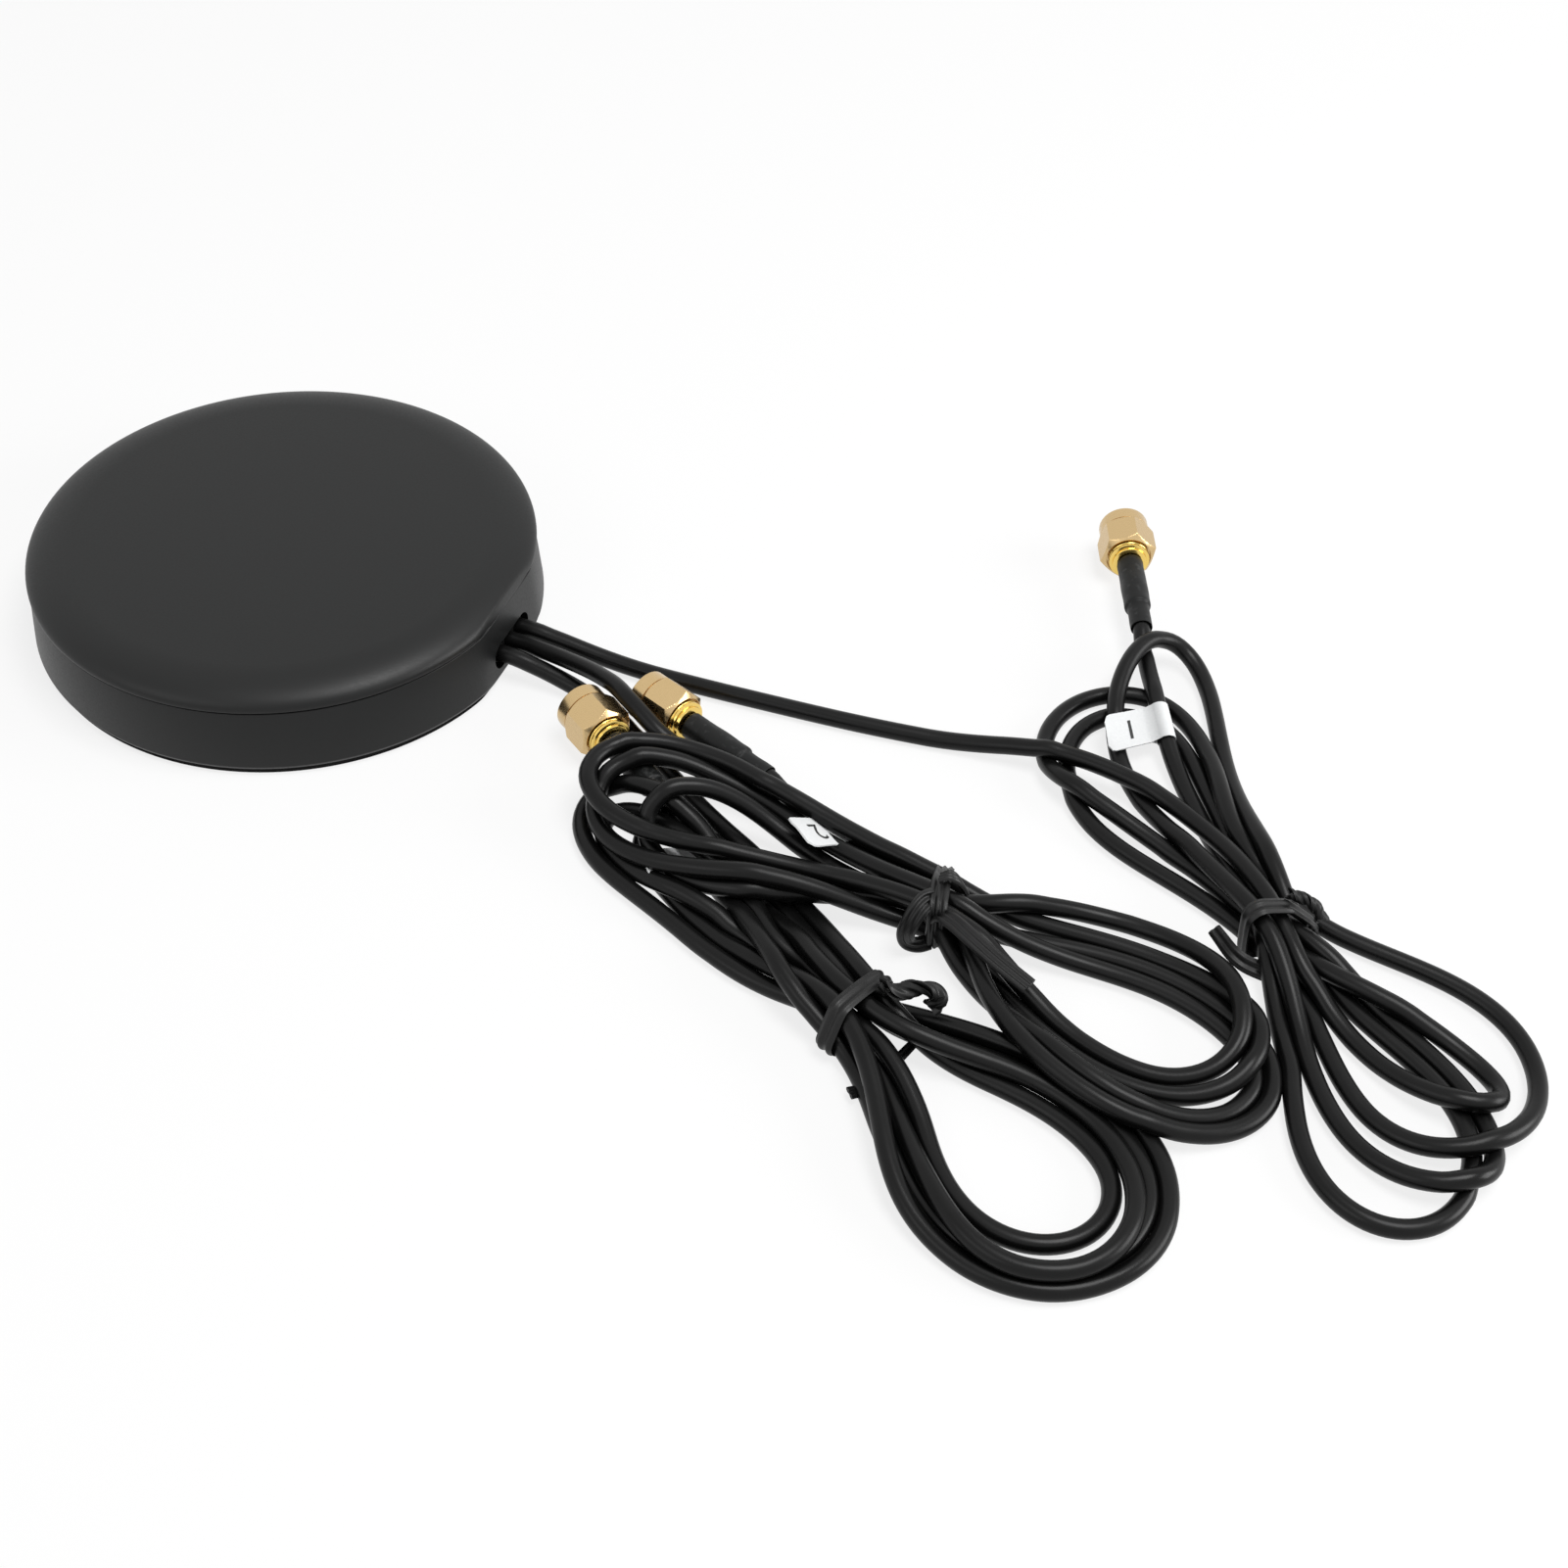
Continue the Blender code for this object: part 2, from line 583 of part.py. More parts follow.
def make_base(root):
    """The foam pad, the base plate with its standoffs, the gasket and the four screws."""
    plate_low, plate_high, board_low, _ = base_levels()
    pad_radius = PUCK_RADIUS - PAD_INSET
    pad_mesh = cylinder_mesh("adhesive_pad", pad_radius, 0.0, PAD_THICKNESS, segments=ROUND_STEPS)
    pad = add_object("adhesive_pad", pad_mesh, FOAM, root)
    cut(pad, flat_cutter("cut_pad_flat", PAD_INSET))

    plate_mesh = cylinder_mesh("base_plate", BASE_RADIUS, plate_low, plate_high, segments=56)
    plate = add_object("base_plate", plate_mesh, BLACK_ABS, root)
    standoff_x = BOARD_RADIUS * 0.62
    for number, (x, y) in enumerate(((1, 1), (-1, 1), (-1, -1), (1, -1)), 1):
        name = f"add_standoff_{number}"
        post = cylinder_mesh(
            name, BOSS_RADIUS, plate_high - GAP, board_low - GAP, x * standoff_x, y * standoff_x, 12
        )
        boolean(plate, add_object(name, post), "UNION")
    for side in (1, -1):
        name = "add_clamp_post_left" if side > 0 else "add_clamp_post_right"
        post = cylinder_mesh(
            name, CLAMP_LENGTH / 2, plate_high - GAP, clamp_low() - GAP, CLAMP_X, side * CLAMP_SCREW_Y, 12
        )
        boolean(plate, add_object(name, post), "UNION")
        name = "cut_clamp_post_left" if side > 0 else "cut_clamp_post_right"
        hole = cylinder_mesh(
            name, CLAMP_SCREW_RADIUS + GAP, plate_high, clamp_low() + GAP, CLAMP_X, side * CLAMP_SCREW_Y, 12
        )
        cut(plate, add_object(name, hole))

    for number, x, y in boss_places():
        hole_name = f"cut_plate_{number}"
        hole = cylinder_mesh(hole_name, SCREW_RADIUS + GAP, plate_low - GAP, plate_high + GAP, x, y, 12)
        cut(plate, add_object(hole_name, hole))
        sink_name = f"cut_sink_{number}"
        sink = cylinder_mesh(
            sink_name, SCREW_HEAD_RADIUS + 2 * GAP, plate_low - GAP, plate_low + SCREW_HEAD_HEIGHT + GAP,
            x, y, 16, top_radius=SCREW_RADIUS + GAP,
        )
        cut(plate, add_object(sink_name, sink))
        screw = turned(
            f"base_screw_{number}",
            [(0.0, SCREW_LENGTH), (SCREW_RADIUS, SCREW_LENGTH), (SCREW_RADIUS, SCREW_HEAD_HEIGHT),
             (SCREW_HEAD_RADIUS, 0.0), (0.0, 0.0)],
            STEEL, steps=12, parent=root,
        )
        screw.location = (x, y, plate_low)

    notch_size = (PUCK_RADIUS, SLOT_WIDTH + 2 * GAP, BASE_THICKNESS)
    notch_edge = FLAT_OFFSET_AT_RIM - GROMMET_RECESS - GROMMET_LENGTH - GAP
    notch_low = plate_low + BASE_THICKNESS / 2
    notch = box_mesh(
        "cut_plate_notch", notch_size, (notch_edge + PUCK_RADIUS / 2, 0, notch_low + BASE_THICKNESS / 2)
    )
    cut(plate, add_object("cut_plate_notch", notch))

    low = plate_high + GAP
    outer = BASE_RADIUS
    gasket = turned(
        "base_gasket",
        [(outer, low + GASKET_HEIGHT), (outer, low), (outer - GASKET_WIDTH, low),
         (outer - GASKET_WIDTH, low + GASKET_HEIGHT)],
        RUBBER, steps=56, parent=root,
    )
    opening = box_mesh(
        "cut_gasket", (PUCK_RADIUS, SLOT_WIDTH + 2 * GAP, PUCK_HEIGHT), (PUCK_RADIUS * 1.2, 0, EXIT_Z)
    )
    cut(gasket, add_object("cut_gasket", opening))


def clamp_low():
    return EXIT_Z + LEAD_DIAMETER / 2 + GAP


def make_lead_holders(root):
    """The grommet in the slot, and the clamp bar with its two screws."""
    front = FLAT_OFFSET_AT_RIM - GROMMET_RECESS
    plug = slot_mesh(
        "lead_grommet", SLOT_WIDTH - 2 * GAP, SLOT_HEIGHT - 2 * GAP, front - GROMMET_LENGTH, front, EXIT_Z
    )
    grommet = add_object("lead_grommet", plug, RUBBER, root)
    for number in (-1, 0, 1):
        name = f"cut_grommet_{number + 2}"
        hole = cylinder_mesh(name, LEAD_DIAMETER / 2 + GAP, -GROMMET_LENGTH, GROMMET_LENGTH, segments=16)
        hole.transform(Matrix.Rotation(math.pi / 2, 4, "Y"))
        hole.transform(Matrix.Translation((front - GROMMET_LENGTH / 2, number * LEAD_PITCH, EXIT_Z)))
        cut(grommet, add_object(name, hole))

    low = clamp_low()
    bar = add_object(
        "lead_clamp",
        box_mesh(
            "lead_clamp", (CLAMP_LENGTH, CLAMP_WIDTH, CLAMP_THICKNESS), (CLAMP_X, 0, low + CLAMP_THICKNESS / 2)
        ),
        BLACK_ABS, root,
    )
    for number, side in enumerate((1, -1), 1):
        name = f"cut_clamp_{number}"
        hole = cylinder_mesh(
            name, CLAMP_SCREW_RADIUS + GAP, low - GAP, low + CLAMP_THICKNESS + GAP,
            CLAMP_X, side * CLAMP_SCREW_Y, 12,
        )
        cut(bar, add_object(name, hole))
        head = low + CLAMP_THICKNESS + GAP
        screw = turned(
            f"clamp_screw_{number}",
            [(0.0, head + 0.0008), (CLAMP_SCREW_RADIUS * 1.7, head + 0.0008), (CLAMP_SCREW_RADIUS * 1.7, head),
             (CLAMP_SCREW_RADIUS, head), (CLAMP_SCREW_RADIUS, base_levels()[1] + GAP),
             (0.0, base_levels()[1] + GAP)],
            STEEL, steps=12, parent=root,
        )
        screw.location = (CLAMP_X, side * CLAMP_SCREW_Y, 0.0)


def make_boards(root):
    """The main board with the ceramic patch, the amplifier's can and the two cellular radiators."""
    _, _, board_low, board_high = base_levels()
    board_mesh = cylinder_mesh("main_board", BOARD_RADIUS, board_low, board_high, segments=40)
    add_object("main_board", board_mesh, LAMINATE, root)
    low = board_high + GAP
    patch = box_mesh(
        "ceramic_patch", (PATCH_SIDE, PATCH_SIDE, PATCH_HEIGHT), (PATCH_X, 0, low + PATCH_HEIGHT / 2)
    )
    patch = add_object("ceramic_patch", patch, CERAMIC, root)
    bevel = patch.modifiers.new("edges", "BEVEL")
    bevel.width = 0.0004
    bevel.segments = 2
    plate_low = low + PATCH_HEIGHT + GAP
    plate = box_mesh(
        "patch_electrode", (ELECTRODE_SIDE, ELECTRODE_SIDE, ELECTRODE_THICKNESS),
        (PATCH_X, 0, plate_low + ELECTRODE_THICKNESS / 2),
    )
    add_object("patch_electrode", plate, SILVER, root)

    bm = bmesh.new()
    bmesh.ops.create_cube(bm, size=1.0)
    bmesh.ops.scale(bm, vec=SHIELD_SIZE, verts=bm.verts)
    bottom = min(bm.faces, key=lambda face: face.calc_center_median().z)
    bmesh.ops.delete(bm, geom=[bottom], context="FACES_ONLY")
    bmesh.ops.translate(bm, vec=(SHIELD_X, 0, low + SHIELD_SIZE[2] / 2), verts=bm.verts)
    can = add_object("amplifier_shield", mesh_from(bm, "amplifier_shield"), TINNED, root)
    solid = can.modifiers.new("wall", "SOLIDIFY")
    solid.thickness = SHIELD_WALL
    solid.offset = -1.0

    for name, side in (("main_radiator", 1), ("aux_radiator", -1)):
        strip = box_mesh(
            name, (RADIATOR_LENGTH, RADIATOR_THICKNESS, RADIATOR_HEIGHT),
            (0, side * RADIATOR_Y, low + RADIATOR_HEIGHT / 2),
        )
        add_object(name, strip, LAMINATE, root)


def plug_frame(name):
    plug = PLUGS[name]
    return add_empty(f"{name}_plug_frame", (*plug["at"], PLUG_AXIS_Z), plug["heading"])


def make_nut(name, frame, spin):
    """The hexagon nut with its round collar, open right through, on the plug's axis."""
    corner = HEX_FLATS / math.sqrt(3)
    collar_x = NUT_HALF_LENGTH - COLLAR_LENGTH
    bm = bmesh.new()
    hex_front = collar_x - HEX_CHAMFER
    bmesh.ops.create_cone(
        bm, cap_ends=True, segments=6, radius1=corner, radius2=corner, depth=NUT_HALF_LENGTH + collar_x
    )
    bmesh.ops.rotate(bm, matrix=Matrix.Rotation(math.pi / 2, 3, "Y"), verts=bm.verts)
    bmesh.ops.translate(bm, vec=((collar_x - NUT_HALF_LENGTH) / 2, 0, 0), verts=bm.verts)
    nut = add_object(f"{name}_coupling_nut", mesh_from(bm, f"{name}_coupling_nut"), GOLD, frame)
    nut.rotation_euler = (math.radians(spin), 0, 0)
    rear = -NUT_HALF_LENGTH
    envelope = turned(
        f"keep_{name}_nut",
        [(0.0, collar_x), (COLLAR_RADIUS, collar_x), (corner, hex_front), (corner, rear + HEX_CHAMFER),
         (corner - HEX_CHAMFER * 1.4, rear), (0.0, rear)],
        None, axis="X", steps=TURN_STEPS, parent=nut,
    )
    boolean(nut, envelope, "INTERSECT")
    lip = 0.0003
    collar = turned(
        f"add_{name}_collar",
        [(0.0, NUT_HALF_LENGTH), (COLLAR_RADIUS - lip, NUT_HALF_LENGTH), (COLLAR_RADIUS, NUT_HALF_LENGTH - lip),
         (COLLAR_RADIUS, collar_x - lip), (0.0, collar_x - lip)],
        None, axis="X", steps=TURN_STEPS, parent=nut,
    )
    boolean(nut, collar, "UNION")
    past = 0.001
    groove_low = RING_GROOVE_X - RING_GROOVE_HALF
    groove_high = RING_GROOVE_X + RING_GROOVE_HALF
    bore = turned(
        f"cut_{name}_nut_bore",
        [(0.0, NUT_HALF_LENGTH + past), (NUT_FRONT_BORE, NUT_HALF_LENGTH + past), (NUT_FRONT_BORE, NUT_STEP_X),
         (NUT_REAR_BORE, NUT_STEP_X), (NUT_REAR_BORE, groove_high),
         (NUT_REAR_BORE + RING_GROOVE_DEPTH, groove_high), (NUT_REAR_BORE + RING_GROOVE_DEPTH, groove_low),
         (NUT_REAR_BORE, groove_low), (NUT_REAR_BORE, rear + NUT_COUNTERBORE_DEPTH),
         (NUT_COUNTERBORE, rear + NUT_COUNTERBORE_DEPTH), (NUT_COUNTERBORE, rear - past), (0.0, rear - past)],
        None, axis="X", steps=TURN_STEPS, parent=nut,
    )
    cut(nut, bore)
    return nut


def make_plug(name, frame):
    """The plug's turned body, insulator, pin, sealing washer and snap ring."""
    rear = -NUT_HALF_LENGTH
    flange_low = NUT_STEP_X + GAP
    flange_high = flange_low + BODY_FLANGE_LENGTH
    ring_high = rear + NUT_COUNTERBORE_DEPTH - GAP
    ring_low = ring_high - BODY_RING_LENGTH
    step_low = ring_low - BODY_STEP_LENGTH
    stem_end = step_low - STEM_LENGTH
    groove_low = RING_GROOVE_X - RING_GROOVE_HALF
    groove_high = RING_GROOVE_X + RING_GROOVE_HALF
    neck_cut = NECK_RADIUS - RING_GROOVE_DEPTH
    turned(
        f"{name}_plug_body",
        [(BODY_BORE, BODY_FRONT_X), (NECK_RADIUS, BODY_FRONT_X), (NECK_RADIUS, flange_high),
         (BODY_FLANGE_RADIUS, flange_high), (BODY_FLANGE_RADIUS, flange_low), (NECK_RADIUS, flange_low),
         (NECK_RADIUS, groove_high), (neck_cut, groove_high), (neck_cut, groove_low),
         (NECK_RADIUS, groove_low), (NECK_RADIUS, ring_high), (BODY_RING_RADIUS, ring_high),
         (BODY_RING_RADIUS, ring_low), (BODY_STEP_RADIUS, ring_low), (BODY_STEP_RADIUS, step_low),
         (STEM_RADIUS, step_low), (STEM_RADIUS, stem_end), (PIN_RADIUS + GAP, stem_end),
         (PIN_RADIUS + GAP, BODY_BORE_X), (BODY_BORE - RING_GROOVE_DEPTH, BODY_BORE_X),
         (BODY_BORE - RING_GROOVE_DEPTH, flange_low), (BODY_BORE, flange_low)],
        GOLD, axis="X", parent=frame,
    )
    insulator_radius = BODY_BORE - RING_GROOVE_DEPTH - GAP
    turned(
        f"{name}_insulator",
        [(INSULATOR_BORE, BODY_FRONT_X - GAP), (insulator_radius, BODY_FRONT_X - GAP),
         (insulator_radius, BODY_BORE_X + GAP), (INSULATOR_BORE, BODY_BORE_X + GAP)],
        PTFE, axis="X", steps=16, parent=frame,
    )
    turned(
        f"{name}_centre_pin",
        [(0.0, PIN_TIP_X), (PIN_RADIUS * 0.5, PIN_TIP_X), (PIN_RADIUS, PIN_TIP_X - PIN_RADIUS),
         (PIN_RADIUS, stem_end), (0.0, stem_end)],
        GOLD, axis="X", steps=10, parent=frame,
    )
    turned(
        f"{name}_sealing_washer",
        [(NECK_RADIUS + GAP, flange_high + GAP + SEAL_THICKNESS),
         (BODY_FLANGE_RADIUS + GAP / 3, flange_high + GAP + SEAL_THICKNESS),
         (BODY_FLANGE_RADIUS + GAP / 3, flange_high + GAP), (NECK_RADIUS + GAP, flange_high + GAP)],
        SILICONE, axis="X", steps=20, parent=frame,
    )
    ring_half = RING_GROOVE_HALF - GAP / 2
    ring_inner = neck_cut + GAP * 0.6
    ring_outer = NUT_REAR_BORE + RING_GROOVE_DEPTH - GAP * 0.6
    ring = turned(
        f"{name}_snap_ring",
        [(ring_inner, RING_GROOVE_X + ring_half), (ring_outer, RING_GROOVE_X + ring_half),
         (ring_outer, RING_GROOVE_X - ring_half), (ring_inner, RING_GROOVE_X - ring_half)],
        STEEL, axis="X", steps=20, parent=frame,
    )
    split = box_mesh(
        f"cut_{name}_snap_ring", (0.004, 0.0008, 0.004), (RING_GROOVE_X, 0, ring_outer / 2 + 0.002)
    )
    cut(ring, add_object(f"cut_{name}_snap_ring", split, parent=frame))
    return step_low


def make_sleeve(name, frame, front):
    """Heat-shrink over the crimp, stepping down onto the lead. front is the plug's last step."""
    high = front - GAP
    shoulder = high - SLEEVE_LENGTH
    low = shoulder - SLEEVE_TAIL_LENGTH
    stem_bore = STEM_RADIUS + GAP
    stem_floor = high - STEM_LENGTH - GAP
    lead_bore = SLEEVE_TAIL_RADIUS - GAP / 2
    turned(
        f"{name}_heat_shrink",
        [(stem_bore, high), (SLEEVE_RADIUS, high), (SLEEVE_RADIUS, shoulder + GAP),
         (SLEEVE_TAIL_RADIUS + GAP / 3, shoulder - GAP), (SLEEVE_TAIL_RADIUS, low), (lead_bore, low),
         (lead_bore, shoulder - 2 * GAP), (stem_bore, stem_floor)],
        SHRINK, axis="X", steps=20, parent=frame,
    )
    return low


def plug_point(name, x):
    """A point on a plug's axis, in the world."""
    plug = PLUGS[name]
    heading = math.radians(plug["heading"])
    return Vector(
        (plug["at"][0] + x * math.cos(heading), plug["at"][1] + x * math.sin(heading), PLUG_AXIS_Z)
    )


def hank_outline(name):
    """The closed outline of a hank: two lobes that meet in a narrow waist at the tie."""
    hank = HANKS[name]
    heading = math.radians(hank["heading"])
    along = np.array([math.cos(heading), math.sin(heading)])
    across = np.array([-along[1], along[0]])
    middle = np.array(hank["tie"])
    waist = {
        (end, side): middle + end * WAIST_HALF_LENGTH * along + side * WAIST_HALF_WIDTH * across
        for end in (1, -1) for side in (1, -1)
    }
    right = smooth_line([waist[1, -1]] + hank["right"] + [waist[1, 1]], OUTLINE_STEP)
    left = smooth_line([waist[-1, 1]] + hank["left"] + [waist[-1, -1]], OUTLINE_STEP)
    return np.vstack([right, left])


def ease(value):
    value = min(1.0, max(0.0, value))
    return value * value * (3 - 2 * value)


def hank_foot(name, x, y):
    """Height of a hank's underside over a point on the ground."""
    levels = HANK_LEVELS[name]
    foot = float(np.interp(x, levels["x"], levels["foot"]))
    if name == "gps":
        run = ease((GPS_LIFT_FROM_Y - y) / GPS_LIFT_RUN) * ease((GPS_LIFT_TO_X - x) / GPS_LIFT_RUN)
        foot = foot + GPS_LIFT * run
    return foot


def make_hank(name):
    """One solid of the hank's outer shape, extruded from its outline and lifted where it lies on another."""
    outline = hank_outline(name)
    levels = HANK_LEVELS[name]
    bm = bmesh.new()
    bm.faces.new([bm.verts.new((x, y, 0.0)) for x, y in outline])
    for axis in (0, 1):
        normal = (1, 0, 0) if axis == 0 else (0, 1, 0)
        places = list(
            np.arange(outline[:, axis].min() + HANK_GRID, outline[:, axis].max() - HANK_GRID / 2, HANK_GRID)
        )
        if axis == 0:
            places += levels["x"][1:-1]
        for place in places:
            point = [0.0, 0.0, 0.0]
            point[axis] = place
            everything = list(bm.verts) + list(bm.edges) + list(bm.faces)
            bmesh.ops.bisect_plane(bm, geom=everything, dist=0.00002, plane_co=point, plane_no=normal)
    lower = set(bm.verts)
    bmesh.ops.extrude_face_region(bm, geom=list(bm.faces))
    for vert in bm.verts:
        foot = hank_foot(name, vert.co.x, vert.co.y)
        thick = float(np.interp(vert.co.x, levels["x"], levels["thick"]))
        vert.co.z = foot if vert in lower else foot + thick
    add_object(f"{name}_hank", mesh_from(bm, f"{name}_hank"), CABLE_PVC)


def make_tie(name):
    """A flat band round the hank's waist."""
    hank = HANKS[name]
    x, y = hank["tie"]
    foot = hank_foot(name, x, y)
    thick = float(np.interp(x, HANK_LEVELS[name]["x"], HANK_LEVELS[name]["thick"]))
    frame = add_empty(f"{name}_tie_frame", (x, y, foot + thick / 2), hank["heading"])
    bm = bmesh.new()
    bmesh.ops.create_cube(bm, size=1.0)
    size = (TIE_WIDTH, 2 * (WAIST_HALF_WIDTH + GAP), thick + 2 * GAP)
    bmesh.ops.scale(bm, vec=size, verts=bm.verts)
    ends = [face for face in bm.faces if abs(face.normal.x) > 0.9]
    bmesh.ops.delete(bm, geom=ends, context="FACES_ONLY")
    long_edges = [
        edge for edge in bm.edges if abs((edge.verts[0].co - edge.verts[1].co).normalized().x) > 0.9
    ]
    bmesh.ops.bevel(bm, geom=long_edges, offset=GAP / 2, segments=2, affect="EDGES")
    band = add_object(f"{name}_twist_tie", mesh_from(bm, f"{name}_twist_tie"), TIE_PVC, frame)
    wall = band.modifiers.new("strip", "SOLIDIFY")
    wall.thickness = TIE_THICKNESS
    wall.offset = 1.0
    return band


def make_flag(name):
    flag = FLAGS[name]
    points = rounded_rectangle(FLAG_LENGTH, FLAG_WIDTH, FLAG_CORNER)
    obj = flat_outline(f"{name}_flag", points, 0.0, FLAG_THICKNESS, PAPER)
    obj.location = (*flag["at"], flag["z"])
    obj.rotation_euler = (0, 0, math.radians(flag["heading"]))


def make_lead(name, root):
    """One lead: its visible run, hank, tie, flag, sleeve and plug."""
    tube(f"{name}_lead", LEAD_ROUTES[name], LEAD_DIAMETER / 2, CABLE_PVC, parent=root)
    make_hank(name)
    make_tie(name)
    make_flag(name)
    frame = plug_frame(name)
    make_nut(name, frame, PLUGS[name]["spin"])
    step = make_plug(name, frame)
    sleeve_end = make_sleeve(name, frame, step)
    start = plug_point(name, sleeve_end + SLEEVE_TAIL_LENGTH / 2)
    mouth = plug_point(name, sleeve_end)
    leave = plug_point(name, sleeve_end - 0.0010)
    points = [start, mouth, leave, TAIL_ENDS[name]]
    tube(f"{name}_tail", points, LEAD_DIAMETER / 2, CABLE_PVC, TAIL_STEP)


def main():
    clear_scene()
    root = add_empty("puck_frame", (0, 0, 0))
    make_cover(root)
    make_base(root)
    make_lead_holders(root)
    make_boards(root)
    for name in PLUGS:
        make_lead(name, root)
    for obj in collection(PARTS).objects:
        if obj.type == "MESH":
            smooth_shade(obj)


main()
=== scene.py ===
"""Looks of the combined puck antenna, its three hanked leads, ties, flags and screw-on plugs.

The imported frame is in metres: the puck's underside is at z = 0 and its leads leave on +X.
"""
import json
import math

import bmesh
import bpy
import numpy as np
from bpy.props import FloatProperty, IntProperty, PointerProperty, StringProperty
from mathutils import Matrix, Vector

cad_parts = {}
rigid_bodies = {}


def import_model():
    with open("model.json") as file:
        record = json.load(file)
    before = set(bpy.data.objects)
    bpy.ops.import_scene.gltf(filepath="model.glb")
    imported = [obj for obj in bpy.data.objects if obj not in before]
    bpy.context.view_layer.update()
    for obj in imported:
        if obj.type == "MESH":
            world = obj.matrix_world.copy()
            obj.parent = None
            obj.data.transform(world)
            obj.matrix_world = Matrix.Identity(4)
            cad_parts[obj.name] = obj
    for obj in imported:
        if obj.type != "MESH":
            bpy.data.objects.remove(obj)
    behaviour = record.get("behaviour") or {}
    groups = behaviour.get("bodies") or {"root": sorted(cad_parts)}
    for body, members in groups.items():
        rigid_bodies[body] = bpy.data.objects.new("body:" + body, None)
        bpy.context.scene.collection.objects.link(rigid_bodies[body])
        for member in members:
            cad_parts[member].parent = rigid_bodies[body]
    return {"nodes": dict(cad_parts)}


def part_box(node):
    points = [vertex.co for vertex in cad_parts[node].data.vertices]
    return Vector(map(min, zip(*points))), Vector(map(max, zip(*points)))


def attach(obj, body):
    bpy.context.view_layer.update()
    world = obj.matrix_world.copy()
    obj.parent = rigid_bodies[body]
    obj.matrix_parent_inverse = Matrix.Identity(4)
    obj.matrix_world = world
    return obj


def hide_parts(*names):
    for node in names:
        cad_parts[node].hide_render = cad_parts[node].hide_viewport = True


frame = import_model()

bl_info = {
    "name": "Puck antenna looks",
    "version": (1, 0, 0),
    "blender": (4, 5, 0),
    "location": "3D View > Sidebar > Puck antenna",
    "description": "Builds the visible pieces of a puck antenna and its leads on the packed frame",
    "category": "Object",
}

MM = 0.001
LEADS = ("gps", "main", "aux")

# Nut middles on the ground, headings of the mating ends and turns of the hexagons, in degrees
PLUG_AXIS_Z = 0.00485
PLUGS = {
    "gps": {"at": (0.1213, 0.0586), "heading": 111.0, "spin": 12.0},
    "main": {"at": (0.0664, -0.0059), "heading": 157.0, "spin": 20.0},
    "aux": {"at": (0.0578, -0.0126), "heading": 145.0, "spin": 5.0},
}

# Middle and heading of each hank's tie, and the heights of the strands that pass through it
TIES = {
    "gps": {"at": (0.1616, -0.0152), "heading": -50.0},
    "main": {"at": (0.1170, -0.0290), "heading": -14.0},
    "aux": {"at": (0.1122, -0.0512), "heading": -26.0},
}
TIE_ROWS = {"low": 0.00240, "middle": 0.00475, "high": 0.00710}
TIE_REACH = 0.0025

